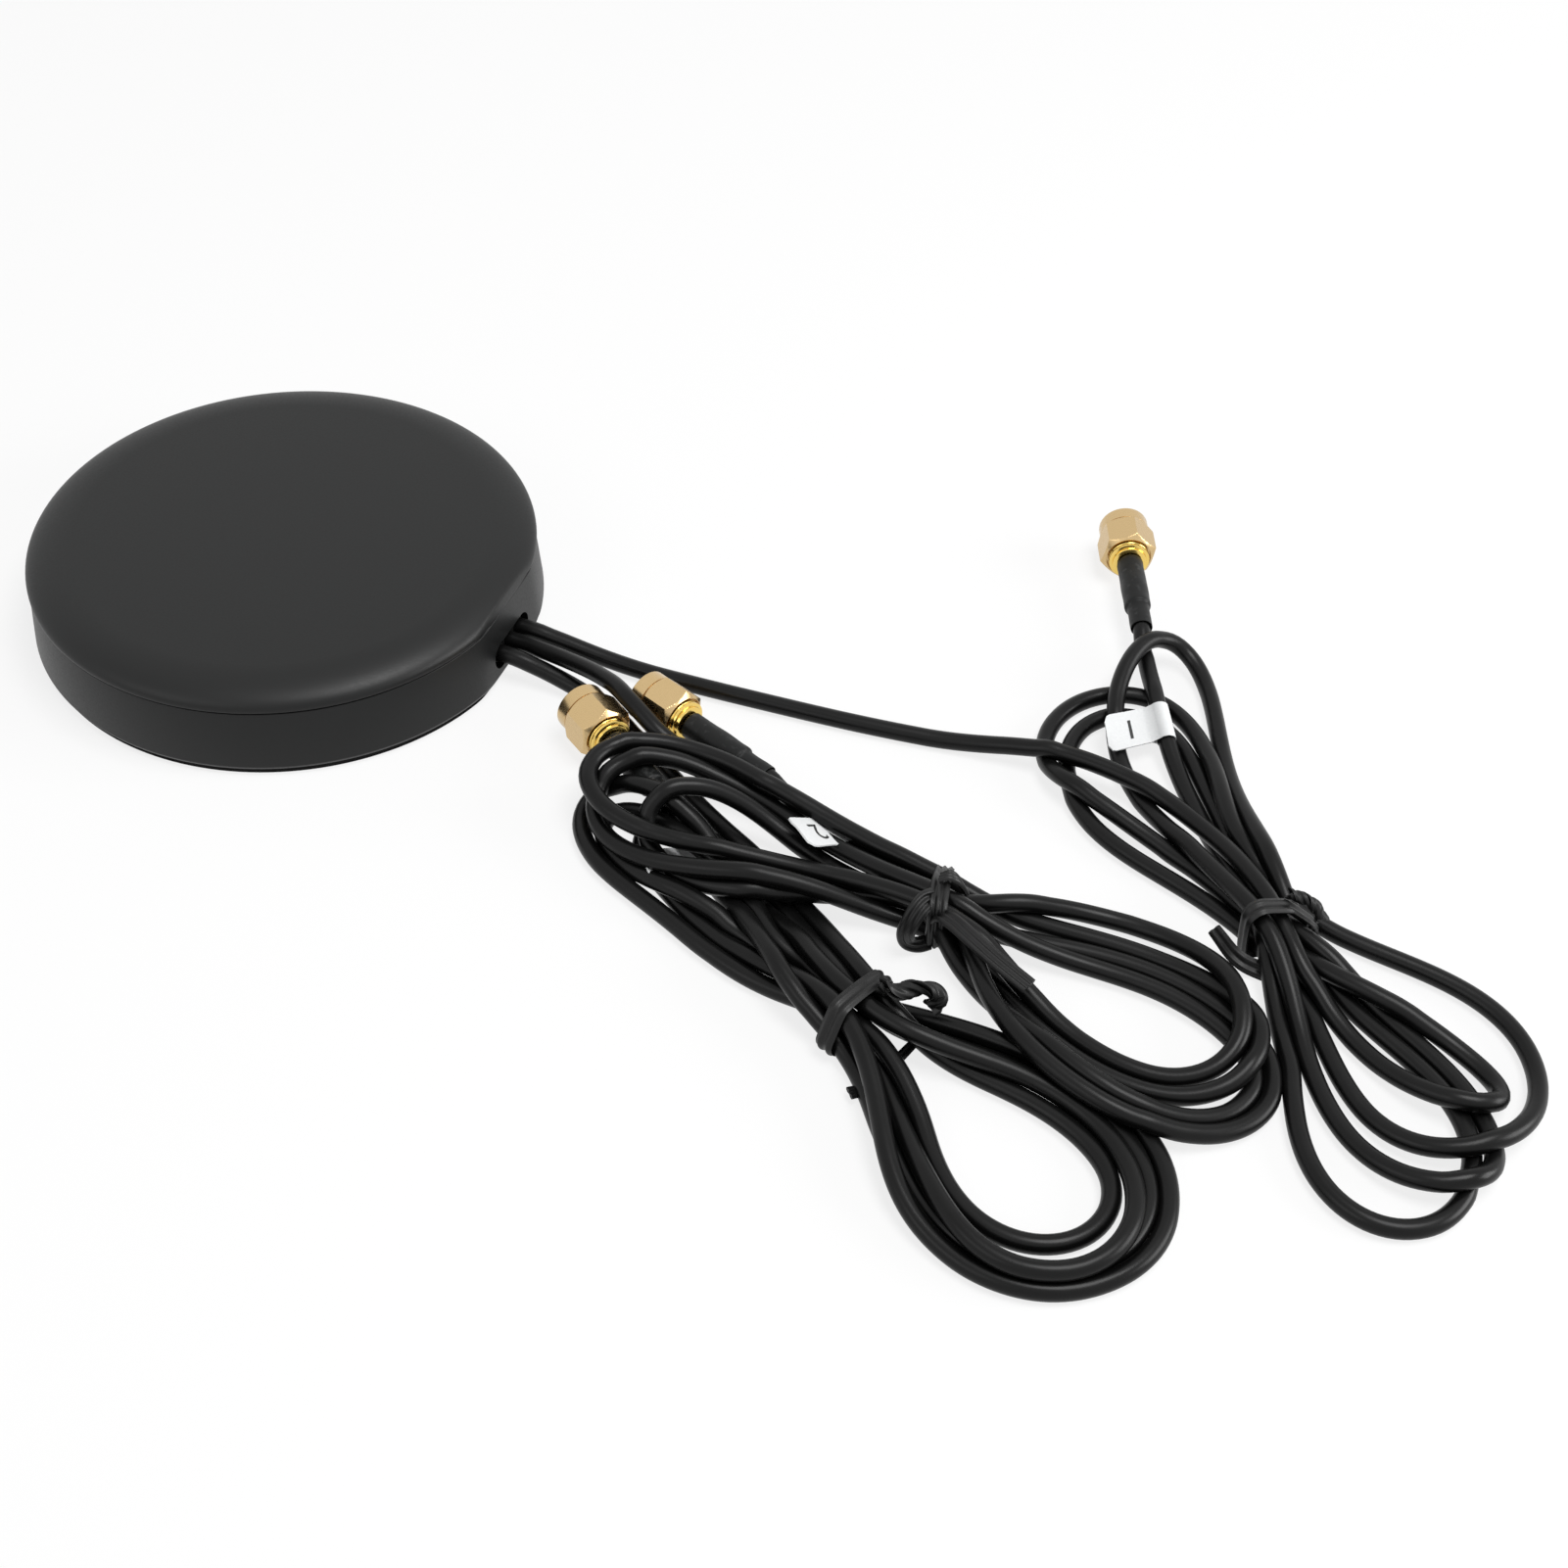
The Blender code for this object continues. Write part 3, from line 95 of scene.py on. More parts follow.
# A lead's stretches in order: name, turn in the order of laying, and points. A point with a height
# is a real place. One without is where the photographed lead would be if it lay SEEN_Z above the
# ground. A pass through the tie gives its place across the bundle, its row, and 1 or -1 for its
# direction.
SEEN_Z = 0.0030
SEEN_SHIFT = np.array([0.333, -0.960])
ROUTES = {
    "gps": [
        ("lead", 90, [
            (0.0275, 0.0034, 0.0043), (0.0330, 0.0034, 0.0043), (0.0400, 0.0034, 0.0043),
            (0.0450, 0.0033, 0.0039), (0.0502, 0.0031, 0.0032), (0.0568, 0.0030, 0.0026),
            (0.0632, 0.0032, 0.0020), (0.0700, 0.0037, 0.0015), (0.0780, 0.0043, 0.0014),
            (0.0870, 0.0046, 0.0014), (0.0960, 0.0049, 0.0014), (0.1040, 0.0057, 0.0014),
            (0.1100, 0.0068, 0.0017),
        ]),
        ("rise", 90, [
            (0.1179, 0.0071), (0.1222, 0.0076), (0.1274, 0.0080), (0.1334, 0.0075),
            (0.1383, 0.0061), (0.1434, 0.0038), (0.1487, 0.0004), (0.1528, -0.0035),
            (0.1555, -0.0070),
        ]),
        ("tie", 0, (0.00000, "high", 1)),
        ("L1", 76, [
            (0.1660, -0.0175), (0.1710, -0.0250), (0.1750, -0.0295), (0.1800, -0.0328),
            (0.1870, -0.0350), (0.1930, -0.0360), (0.1965, -0.0355), (0.1973, -0.0335),
            (0.1950, -0.0310), (0.1900, -0.0285), (0.1830, -0.0250), (0.1760, -0.0210),
            (0.1700, -0.0180),
        ]),
        ("tie", 0, (0.00000, "low", -1)),
        ("U1", 71, [
            (0.1540, -0.0095), (0.1520, -0.0080), (0.1470, -0.0050), (0.1420, -0.0025),
            (0.1370, -0.0005), (0.1320, 0.0010), (0.1270, 0.0025), (0.1240, 0.0040),
            (0.1215, 0.0080), (0.1215, 0.0120), (0.1220, 0.0170), (0.1250, 0.0210),
            (0.1280, 0.0235), (0.1310, 0.0250), (0.1340, 0.0265), (0.1390, 0.0260),
            (0.1415, 0.0210), (0.1440, 0.0150), (0.1480, 0.0080), (0.1520, 0.0020),
            (0.1560, -0.0040),
        ]),
        ("tie", 0, (0.00275, "high", 1)),
        ("L2", 75, [
            (0.1680, -0.0120), (0.1750, -0.0138), (0.1820, -0.0148), (0.1880, -0.0160),
            (0.1930, -0.0180), (0.1970, -0.0215), (0.2000, -0.0260), (0.2007, -0.0310),
            (0.2000, -0.0350), (0.1980, -0.0390), (0.1940, -0.0430), (0.1900, -0.0450),
            (0.1860, -0.0456), (0.1820, -0.0445), (0.1780, -0.0410), (0.1750, -0.0370),
            (0.1725, -0.0320), (0.1690, -0.0270), (0.1660, -0.0220),
        ]),
        ("tie", 0, (-0.00275, "low", -1)),
        ("U2", 70, [
            (0.1530, -0.0140), (0.1500, -0.0120), (0.1450, -0.0100), (0.1400, -0.0085),
            (0.1350, -0.0065), (0.1310, -0.0040), (0.1280, -0.0010), (0.1265, 0.0040),
            (0.1260, 0.0080), (0.1257, 0.0120), (0.1270, 0.0160), (0.1295, 0.0190),
            (0.1320, 0.0200), (0.1365, 0.0200), (0.1405, 0.0190), (0.1415, 0.0170),
            (0.1440, 0.0120), (0.1470, 0.0090), (0.1500, 0.0040), (0.1530, 0.0000),
        ]),
        ("tie", 0, (0.00138, "middle", 1)),
        ("L3", 74, [
            (0.1720, -0.0215), (0.1780, -0.0245), (0.1830, -0.0280), (0.1880, -0.0315),
            (0.1920, -0.0350), (0.1950, -0.0385), (0.1970, -0.0420), (0.1960, -0.0460),
            (0.1930, -0.0495), (0.1880, -0.0510), (0.1830, -0.0500), (0.1780, -0.0465),
            (0.1740, -0.0415), (0.1705, -0.0355), (0.1670, -0.0280), (0.1640, -0.0220),
        ]),
        ("tie", 0, (-0.00275, "high", -1)),
        ("U3", 80, [
            (0.1530, -0.0100), (0.1500, -0.0065), (0.1450, -0.0030), (0.1400, 0.0010),
            (0.1360, 0.0060), (0.1330, 0.0110), (0.1310, 0.0160), (0.1295, 0.0220),
            (0.1290, 0.0280), (0.1295, 0.0350), (0.1310, 0.0385), (0.1335, 0.0400),
            (0.1360, 0.0395), (0.1380, 0.0365), (0.1395, 0.0330), (0.1420, 0.0280),
            (0.1450, 0.0220), (0.1490, 0.0130), (0.1530, 0.0040), (0.1570, -0.0030),
        ]),
        ("tie", 0, (0.00275, "low", 1)),
        ("L4", 73, [
            (0.1700, -0.0230), (0.1760, -0.0265), (0.1820, -0.0300), (0.1880, -0.0340),
            (0.1920, -0.0370), (0.1940, -0.0420), (0.1945, -0.0480), (0.1940, -0.0530),
            (0.1910, -0.0570), (0.1870, -0.0593), (0.1830, -0.0595), (0.1780, -0.0570),
            (0.1740, -0.0520), (0.1705, -0.0460), (0.1680, -0.0390), (0.1660, -0.0310),
            (0.1635, -0.0240),
        ]),
        ("tie", 0, (-0.00138, "middle", -1)),
        ("tail", 72, [
            (0.1550, -0.0060), (0.1500, 0.0000), (0.1450, 0.0060), (0.1410, 0.0130),
            (0.1380, 0.0180), (0.1355, 0.0250), (0.1340, 0.0290), (0.1322, 0.0330),
        ]),
    ],
    "main": [
        ("lead", 0, [
            (0.0275, 0.0000, 0.0043), (0.0330, 0.0000, 0.0043), (0.0400, 0.0000, 0.0043),
            (0.0450, -0.0007, 0.0045), (0.0500, -0.0016, 0.0049), (0.0546, -0.0029, 0.0060),
            (0.0583, -0.0057, 0.0078), (0.0622, -0.0094, 0.0090), (0.0660, -0.0122, 0.0086),
            (0.0710, -0.0143, 0.0072), (0.0760, -0.0165, 0.0058),
        ]),
        ("rise", 40, [
            (0.0840, -0.0140), (0.0900, -0.0165), (0.0960, -0.0190), (0.1020, -0.0220),
            (0.1065, -0.0245),
        ]),
        ("tie", 0, (0.00275, "low", 1)),
        ("R1", 53, [
            (0.1200, -0.0243), (0.1280, -0.0230), (0.1350, -0.0213), (0.1420, -0.0207),
            (0.1480, -0.0210), (0.1540, -0.0235), (0.1590, -0.0270), (0.1615, -0.0310),
            (0.1620, -0.0350), (0.1610, -0.0390), (0.1580, -0.0425), (0.1530, -0.0460),
            (0.1480, -0.0460), (0.1420, -0.0440), (0.1360, -0.0405), (0.1300, -0.0370),
            (0.1240, -0.0335),
        ]),
        ("tie", 0, (-0.00275, "high", -1)),
        ("U1", 60, [
            (0.1050, -0.0275), (0.0980, -0.0272), (0.0900, -0.0275), (0.0820, -0.0280),
            (0.0750, -0.0278), (0.0690, -0.0265), (0.0645, -0.0248), (0.0615, -0.0220),
            (0.0600, -0.0190), (0.0604, -0.0172), (0.0621, -0.0145), (0.0650, -0.0127),
            (0.0700, -0.0116), (0.0750, -0.0112), (0.0800, -0.0114), (0.0850, -0.0124),
            (0.0900, -0.0140), (0.0950, -0.0162), (0.1000, -0.0186), (0.1060, -0.0216),
        ]),
        ("tie", 0, (0.00275, "high", 1)),
        ("R2", 52, [
            (0.1250, -0.0272), (0.1330, -0.0260), (0.1410, -0.0255), (0.1490, -0.0263),
            (0.1560, -0.0290), (0.1610, -0.0320), (0.1645, -0.0370), (0.1640, -0.0420),
            (0.1600, -0.0460), (0.1540, -0.0488), (0.1480, -0.0488), (0.1420, -0.0473),
            (0.1360, -0.0440), (0.1300, -0.0405), (0.1240, -0.0370),
        ]),
        ("tie", 0, (-0.00275, "low", -1)),
        ("U2", 58, [
            (0.1070, -0.0300), (0.1000, -0.0298), (0.0930, -0.0310), (0.0860, -0.0325),
            (0.0790, -0.0333), (0.0720, -0.0330), (0.0670, -0.0310), (0.0645, -0.0280),
            (0.0632, -0.0220), (0.0643, -0.0192), (0.0674, -0.0162), (0.0720, -0.0146),
            (0.0770, -0.0142), (0.0820, -0.0148), (0.0880, -0.0165), (0.0940, -0.0187),
            (0.1000, -0.0213), (0.1060, -0.0238),
        ]),
        ("tie", 0, (0.00000, "high", 1)),
        ("R3", 51, [
            (0.1240, -0.0298), (0.1300, -0.0295), (0.1400, -0.0290), (0.1500, -0.0295),
            (0.1580, -0.0320), (0.1635, -0.0350), (0.1665, -0.0390), (0.1660, -0.0440),
            (0.1610, -0.0495), (0.1540, -0.0515), (0.1470, -0.0505), (0.1410, -0.0480),
            (0.1350, -0.0448), (0.1290, -0.0413), (0.1230, -0.0370),
        ]),
        ("tie", 0, (-0.00138, "middle", -1)),
        ("U3", 56, [
            (0.1040, -0.0315), (0.0970, -0.0335), (0.0900, -0.0355), (0.0840, -0.0360),
            (0.0780, -0.0340), (0.0735, -0.0300), (0.0725, -0.0260), (0.0725, -0.0230),
            (0.0740, -0.0210), (0.0770, -0.0185), (0.0812, -0.0173), (0.0860, -0.0185),
            (0.0920, -0.0222), (0.0980, -0.0254), (0.1040, -0.0278),
        ]),
        ("tie", 0, (0.00000, "low", 1)),
        ("R4", 50, [
            (0.1240, -0.0303), (0.1300, -0.0300), (0.1400, -0.0298), (0.1500, -0.0304),
            (0.1580, -0.0328), (0.1645, -0.0365), (0.1678, -0.0415), (0.1680, -0.0460),
            (0.1650, -0.0505), (0.1600, -0.0532), (0.1540, -0.0538), (0.1490, -0.0530),
            (0.1430, -0.0505), (0.1370, -0.0470), (0.1310, -0.0435), (0.1240, -0.0390),
        ]),
        ("tie", 0, (0.00138, "middle", -1)),
        ("tail", 57, [(0.1060, -0.0230), (0.1000, -0.0202), (0.0950, -0.0180)]),
        ("tail", 54, [(0.0915, -0.0165)]),
    ],
    "aux": [
        ("lead", 0, [
            (0.0275, -0.0034, 0.0043), (0.0330, -0.0034, 0.0043), (0.0400, -0.0034, 0.0043),
            (0.0440, -0.0035, 0.0034), (0.0480, -0.0034, 0.0021), (0.0520, -0.0033, 0.0014),
            (0.0558, -0.0043, 0.0014), (0.0590, -0.0067, 0.0014), (0.0620, -0.0093, 0.0014),
            (0.0670, -0.0127, 0.0014), (0.0710, -0.0153, 0.0014), (0.0750, -0.0184, 0.0014),
            (0.0790, -0.0216, 0.0014), (0.0824, -0.0248, 0.0016),
        ]),
        ("rise", 11, [
            (0.0870, -0.0275), (0.0930, -0.0310), (0.0990, -0.0355), (0.1040, -0.0400),
        ]),
        ("tie", 0, (0.00275, "high", 1)),
        ("R1", 26, [
            (0.1220, -0.0525), (0.1320, -0.0540), (0.1410, -0.0560), (0.1480, -0.0595),
            (0.1520, -0.0640), (0.1525, -0.0690), (0.1500, -0.0745), (0.1460, -0.0770),
            (0.1410, -0.0777), (0.1350, -0.0755), (0.1290, -0.0700), (0.1230, -0.0620),
            (0.1180, -0.0555),
        ]),
        ("tie", 0, (-0.00138, "middle", -1)),
        ("U1", 14, [
            (0.1040, -0.0515), (0.0970, -0.0485), (0.0900, -0.0455), (0.0820, -0.0420),
            (0.0750, -0.0390), (0.0690, -0.0360), (0.0650, -0.0320), (0.0630, -0.0265),
            (0.0630, -0.0235), (0.0645, -0.0208), (0.0680, -0.0205), (0.0720, -0.0225),
            (0.0770, -0.0260), (0.0830, -0.0310), (0.0900, -0.0370), (0.0980, -0.0430),
        ]),
        ("tie", 0, (0.00000, "high", 1)),
        ("R2", 24, [
            (0.1220, -0.0505), (0.1320, -0.0515), (0.1410, -0.0530), (0.1480, -0.0570),
            (0.1530, -0.0620), (0.1560, -0.0680), (0.1550, -0.0730), (0.1510, -0.0780),
            (0.1450, -0.0810), (0.1380, -0.0805), (0.1320, -0.0760), (0.1260, -0.0690),
            (0.1200, -0.0605),
        ]),
        ("tie", 0, (0.00000, "low", -1)),
        ("U2", 16, [
            (0.0970, -0.0435), (0.0900, -0.0415), (0.0830, -0.0390), (0.0760, -0.0365),
            (0.0700, -0.0340), (0.0660, -0.0310), (0.0660, -0.0280), (0.0675, -0.0262),
            (0.0700, -0.0255), (0.0750, -0.0243), (0.0790, -0.0245), (0.0830, -0.0270),
            (0.0880, -0.0310), (0.0950, -0.0365), (0.1010, -0.0415),
        ]),
        ("tie", 0, (0.00275, "low", 1)),
        ("R3", 22, [
            (0.1200, -0.0470), (0.1300, -0.0490), (0.1400, -0.0500), (0.1470, -0.0520),
            (0.1520, -0.0560), (0.1570, -0.0610), (0.1590, -0.0680), (0.1580, -0.0740),
            (0.1530, -0.0800), (0.1470, -0.0830), (0.1400, -0.0825), (0.1340, -0.0795),
            (0.1280, -0.0740), (0.1220, -0.0660), (0.1160, -0.0575),
        ]),
        ("tie", 0, (-0.00275, "high", -1)),
        ("U3", 12, [
            (0.1030, -0.0475), (0.0970, -0.0455), (0.0900, -0.0430), (0.0830, -0.0395),
            (0.0770, -0.0355), (0.0725, -0.0315), (0.0715, -0.0285), (0.0740, -0.0268),
            (0.0790, -0.0275), (0.0860, -0.0305), (0.0930, -0.0335), (0.0990, -0.0370),
            (0.1040, -0.0415),
        ]),
        ("tie", 0, (0.00138, "middle", 1)),
        ("R4", 20, [
            (0.1210, -0.0490), (0.1310, -0.0503), (0.1405, -0.0515), (0.1475, -0.0545),
            (0.1525, -0.0590), (0.1570, -0.0650), (0.1570, -0.0710), (0.1535, -0.0770),
            (0.1490, -0.0815), (0.1430, -0.0828), (0.1360, -0.0805), (0.1300, -0.0770),
            (0.1240, -0.0700), (0.1180, -0.0615),
        ]),
        ("tie", 0, (-0.00275, "low", -1)),
        ("tail", 18, [
            (0.1030, -0.0460), (0.0960, -0.0420), (0.0900, -0.0380), (0.0840, -0.0340),
            (0.0790, -0.0305),
        ]),
    ],
}

# ---------------------------------------------------------------- lines and meshes


def curve_through(points, step):
    """Catmull-Rom curve through points, resampled about step apart, with its knot numbers."""
    points = np.asarray(points, float)
    padded = np.vstack([2 * points[0] - points[1], points, 2 * points[-1] - points[-2]])
    dense, knots = [], []
    for number, (a, b, c, d) in enumerate(zip(padded, padded[1:], padded[2:], padded[3:])):
        for t in np.arange(0, 1, 0.05):
            square, cube = 2 * a - 5 * b + 4 * c - d, 3 * b - 3 * c + d - a
            dense.append((2 * b + (c - a) * t + square * t**2 + cube * t**3) / 2)
            knots.append(number + t)
    dense.append(points[-1])
    knots.append(len(points) - 1)
    dense, knots = np.array(dense), np.array(knots)
    along = np.concatenate([[0], np.cumsum(np.linalg.norm(np.diff(dense, axis=0), axis=1))])
    places = np.linspace(0, along[-1], max(2, int(round(along[-1] / step)) + 1))
    sampled = np.column_stack([np.interp(places, along, column) for column in dense.T])
    return sampled, np.interp(places, along, knots)


def unit(vector):
    """A vector, or each row of an array, with length 1."""
    vector = np.asarray(vector, float)
    return vector / np.maximum(np.linalg.norm(vector, axis=-1, keepdims=True), 1e-12)


def heading_axes(degrees):
    """Directions along and across a heading on the ground."""
    along, across = math.cos(math.radians(degrees)), math.sin(math.radians(degrees))
    return np.array([along, across, 0.0]), np.array([-across, along, 0.0])


def plug_point(lead, x):
    """A place on a plug's axis, x from the middle of its nut towards the mating end."""
    plug = PLUGS[lead]
    along, _ = heading_axes(plug["heading"])
    return np.array([*plug["at"], PLUG_AXIS_Z]) + x * along


def plug_place(lead, spin=0.0):
    """Matrix that puts a plug's own X axis on its lead's plug axis."""
    place = Matrix.Translation(Vector(plug_point(lead, 0.0)))
    place @= Matrix.Rotation(math.radians(PLUGS[lead]["heading"]), 4, "Z")
    return place @ Matrix.Rotation(math.radians(spin), 4, "X")


def finish_mesh(bm, name, material=None, smooth_angle=35.0, place=None):
    """Turns a bmesh into an object at the origin, with outward normals and smooth shading."""
    bmesh.ops.remove_doubles(bm, verts=bm.verts, dist=0.000002)
    bmesh.ops.recalc_face_normals(bm, faces=bm.faces)
    mesh = bpy.data.meshes.new(name)
    if place is not None:
        bmesh.ops.transform(bm, matrix=place, verts=bm.verts)
    bm.to_mesh(mesh)
    bm.free()
    mesh.shade_smooth()
    mesh.set_sharp_from_angle(angle=math.radians(smooth_angle))
    obj = bpy.data.objects.new(name, mesh)
    bpy.context.scene.collection.objects.link(obj)
    if material is not None:
        mesh.materials.append(material)
    return obj


def grid_faces(bm, rows, wrap_rows=False, wrap_columns=True, slot=0):
    """Quads between rows of vertices of equal length."""
    made = []
    last_row = len(rows) if wrap_rows else len(rows) - 1
    for i in range(last_row):
        lower, upper = rows[i], rows[(i + 1) % len(rows)]
        width = len(lower)
        last_column = width if wrap_columns else width - 1
        for j in range(last_column):
            k = (j + 1) % width
            made.append(bm.faces.new((lower[j], lower[k], upper[k], upper[j])))
            made[-1].material_index = slot
    return made


def broken_corners(profile, width, steps=3):
    """The profile with each corner between its ends replaced by a short arc."""
    points = [np.array(p, float) for p in profile]
    out = [points[0]]
    for before, corner, after in zip(points, points[1:], points[2:]):
        back, on = before - corner, after - corner
        reach = min(width, np.linalg.norm(back) * 0.45, np.linalg.norm(on) * 0.45)
        start, end = corner + reach * unit(back), corner + reach * unit(on)
        for t in np.linspace(0, 1, steps + 1):
            out.append((1 - t) ** 2 * start + 2 * t * (1 - t) * corner + t**2 * end)
    out.append(points[-1])
    return out


def lathe(bm, profile, steps, slot=0, closed=False, wobble=None):
    """Turns (radius, x) points round the X axis. The ends on the axis close as poles."""
    rows = []
    for radius, x in profile:
        row = []
        for index in range(steps):
            angle = 2 * math.pi * index / steps
            reach = radius if wobble is None else radius * wobble(x, angle)
            row.append((x, reach * math.cos(angle), reach * math.sin(angle)))
        rows.append([bm.verts.new(p) for p in (row if radius > 1e-7 else row[:1])])
    pairs = list(zip(rows, rows[1:])) + ([(rows[-1], rows[0])] if closed else [])
    for lower, upper in pairs:
        for j in range(steps):
            k = (j + 1) % steps
            if len(lower) == 1:
                corners = (lower[0], upper[k], upper[j])
            elif len(upper) == 1:
                corners = (lower[j], lower[k], upper[0])
            else:
                corners = (lower[j], lower[k], upper[k], upper[j])
            bm.faces.new(corners).material_index = slot


def evaluated(obj):
    """Replaces an object's mesh by what its modifiers make of it."""
    graph = bpy.context.evaluated_depsgraph_get()
    mesh = bpy.data.meshes.new_from_object(obj.evaluated_get(graph))
    obj.modifiers.clear()
    obj.data = mesh


def cut_away(obj, cutter):
    """Cuts one object's shape out of another and removes it."""
    step = obj.modifiers.new("shape", "BOOLEAN")
    step.operation = "DIFFERENCE"
    step.solver = "EXACT"
    step.object = cutter
    bpy.context.view_layer.update()
    evaluated(obj)
    bpy.data.objects.remove(cutter)


# ---------------------------------------------------------------- laying the leads

# Where a lead runs into its plug, from the nut's middle: behind its sleeve, in it and in the crimp
RUN_IN = {"gps": -0.0235, "main": -0.0230, "aux": -0.0230}
IN_SLEEVE, IN_CRIMP = -0.0190, -0.0100
# The leads lie in the puck's mouth, and don't move, up to this distance along X
MOUTH_END = 0.042
# The plugs as rows of balls for laying and as capsules for settling: from, to and radius, in mm
PLUG_BALLS = ((-16.5, -5.4, 2.1), (-4.0, 4.1, 4.3))
PLUG_CAPSULES = (
    (-16.2, -5.0, 2.1), (-21.4, -16.2, 1.75), (-5.4, -4.0, 3.25), (-4.0, 1.6, 4.62),
    (1.6, 4.0, 4.0),
)
# Laying: how often it is repeated
LAY_ROUNDS = 3
# A strand lies on another that is nearer on the ground than this share of touching
LIES_ON = 0.55
# It ignores its own points up to this many along it
OWN_REACH = 6
# Stretches before this turn pass under the plugs
UNDER_PLUGS = 30
# The heights are eased this often, each time losing no more than this
EASE_ROUNDS, EASE_DROP = 12, 0.15 * MM
HANK_TOP = 9.5 * MM

# Settling: space between strands, and a point's fall in one pass
SPACE = 0.02 * MM
FALL = 0.02 * MM
# A point's pull to its place and to its height, in a tie and elsewhere
PLACE_PULL = (0.25, 0.06)
HEIGHT_PULL = (0.12, 0.06)
# Resistance to bending, over so many points to each side
BEND_PULLS = ((1, 0.35), (2, 0.20), (3, 0.12))
# How many points a lead has in its own plug
PLUG_POINTS = 16
# Points that are followed because they are this near, and don't follow each other this soon
FOLLOWED = 4.2 * MM
NO_MEETING = 5


def slot_place(lead, across, height, along):
    """A real place in the bundle at a lead's tie."""
    tie = TIES[lead]
    ahead, side = heading_axes(tie["heading"])
    place = np.array([*tie["at"], 0.0]) + along * ahead + across * side
    return (place[0], place[1], height)


def route_stretches(lead):
    """A lead's stretches with the tie passes as real places and the last one inside its sleeve."""
    out = []
    for name, order, points in ROUTES[lead]:
        if name == "tie":
            across, row, way = points
            ends = (-TIE_REACH * way, TIE_REACH * way)
            points = [slot_place(lead, across, TIE_ROWS[row], end) for end in ends]
        out.append((name, order, points))
    run_in = (RUN_IN[lead], IN_SLEEVE, IN_CRIMP)
    return out + [("plug", 0, [tuple(plug_point(lead, x)) for x in run_in])]


def seen_route(lead, step):
    """Points of a lead as seen, its known heights, and what each point belongs to."""
    stretches = route_stretches(lead)
    seen, heights, owner = [], [], []
    for index, (_, _, points) in enumerate(stretches):
        for point in points:
            known = len(point) == 3
            height = point[2] if known else np.nan
            shift = (height - SEEN_Z) * SEEN_SHIFT if known else 0.0
            seen.append(np.array(point[:2]) - shift)
            heights.append(height)
            owner.append(index)
    line, knots = curve_through(seen, step)
    heights = np.array(heights)
    low = np.floor(knots).astype(int)
    high = np.minimum(low + 1, len(heights) - 1)
    height = heights[low] * (1 - knots + low) + heights[high] * (knots - low)
    near = np.array(owner)[np.clip(np.round(knots).astype(int), 0, len(owner) - 1)]
    free = np.isnan(height)
    names = np.array([stretches[i][0] for i in near])
    in_mouth = (names == "lead") & (line[:, 0] < MOUTH_END)
    return {
        "seen": line,
        "height": height,
        "free": free,
        "order": np.array([stretches[i][1] for i in near]),
        "in_tie": (names == "tie") & ~free,
        "fixed": ~free & ((names == "plug") | in_mouth),
    }


def real_places(seen, height):
    """Where points really are that are seen at these places and have these heights."""
    return np.column_stack([seen + (height[:, None] - SEEN_Z) * SEEN_SHIFT, height])


def lay_in_turn(routes, radius):
    """Gives each free point a height by laying the stretches over one another in their order."""
    things = []
    for lead in LEADS:
        for low, high, size in PLUG_BALLS:
            for x in np.arange(low * MM, high * MM, MM):
                things.append((*plug_point(lead, x), size * MM))
    floor = radius + SPACE
    for route in routes.values():
        route["height"] = np.where(route["free"], floor, route["height"])
    orders = sorted({int(o) for r in routes.values() for o in r["order"][r["free"]]})
    for _ in range(LAY_ROUNDS):
        laid, keys = [np.array(things)], [(None, 0)] * len(things)
        for lead, route in routes.items():
            known = np.flatnonzero(~route["free"])
            places = real_places(route["seen"], route["height"])[known]
            laid.append(np.column_stack([places, np.full(len(known), radius)]))
            keys += [(lead, i) for i in known]
        for order in orders:
            for lead, route in routes.items():
                mine = np.flatnonzero(route["free"] & (route["order"] == order))
                if not len(mine):
                    continue
                others = np.vstack(laid)
                far_off = -len(route["height"])
                own = np.array([index if name == lead else far_off for name, index in keys])
                here = real_places(route["seen"], route["height"])[mine, :2]
                apart = np.linalg.norm(here[:, None] - others[None, :, :2], axis=2)
                touch = others[None, :, 3] + radius
                over = (apart < touch * LIES_ON) & (np.abs(own[None] - mine[:, None]) > OWN_REACH)
                over &= ~((others[None, :, 3] > radius + 0.1 * MM) & (order < UNDER_PLUGS))
                rise = np.sqrt(np.maximum(touch**2 - apart**2, 0))
                tops = np.where(over, others[None, :, 2] + rise, floor)
                wanted = route["height"].copy()
                wanted[mine] = np.maximum(tops.max(1), floor)
                eased = wanted.copy()
                for _ in range(EASE_ROUNDS):
                    mean = eased.copy()
                    mean[1:-1] = (eased[:-2] + 2 * eased[1:-1] + eased[2:]) / 4
                    eased[mine] = np.maximum(mean[mine], wanted[mine] - EASE_DROP)
                route["height"][mine] = np.minimum(eased[mine], HANK_TOP)
                places = real_places(route["seen"], route["height"])[mine]
                laid.append(np.column_stack([places, np.full(len(mine), radius)]))
                keys += [(lead, i) for i in mine]


def hard_things():
    """Capsules of the plugs and sleeves: start, end, radius and the lead they belong to."""
    return [
        (plug_point(lead, low * MM), plug_point(lead, high * MM), radius * MM, lead)
        for lead in LEADS for low, high, radius in PLUG_CAPSULES
    ]


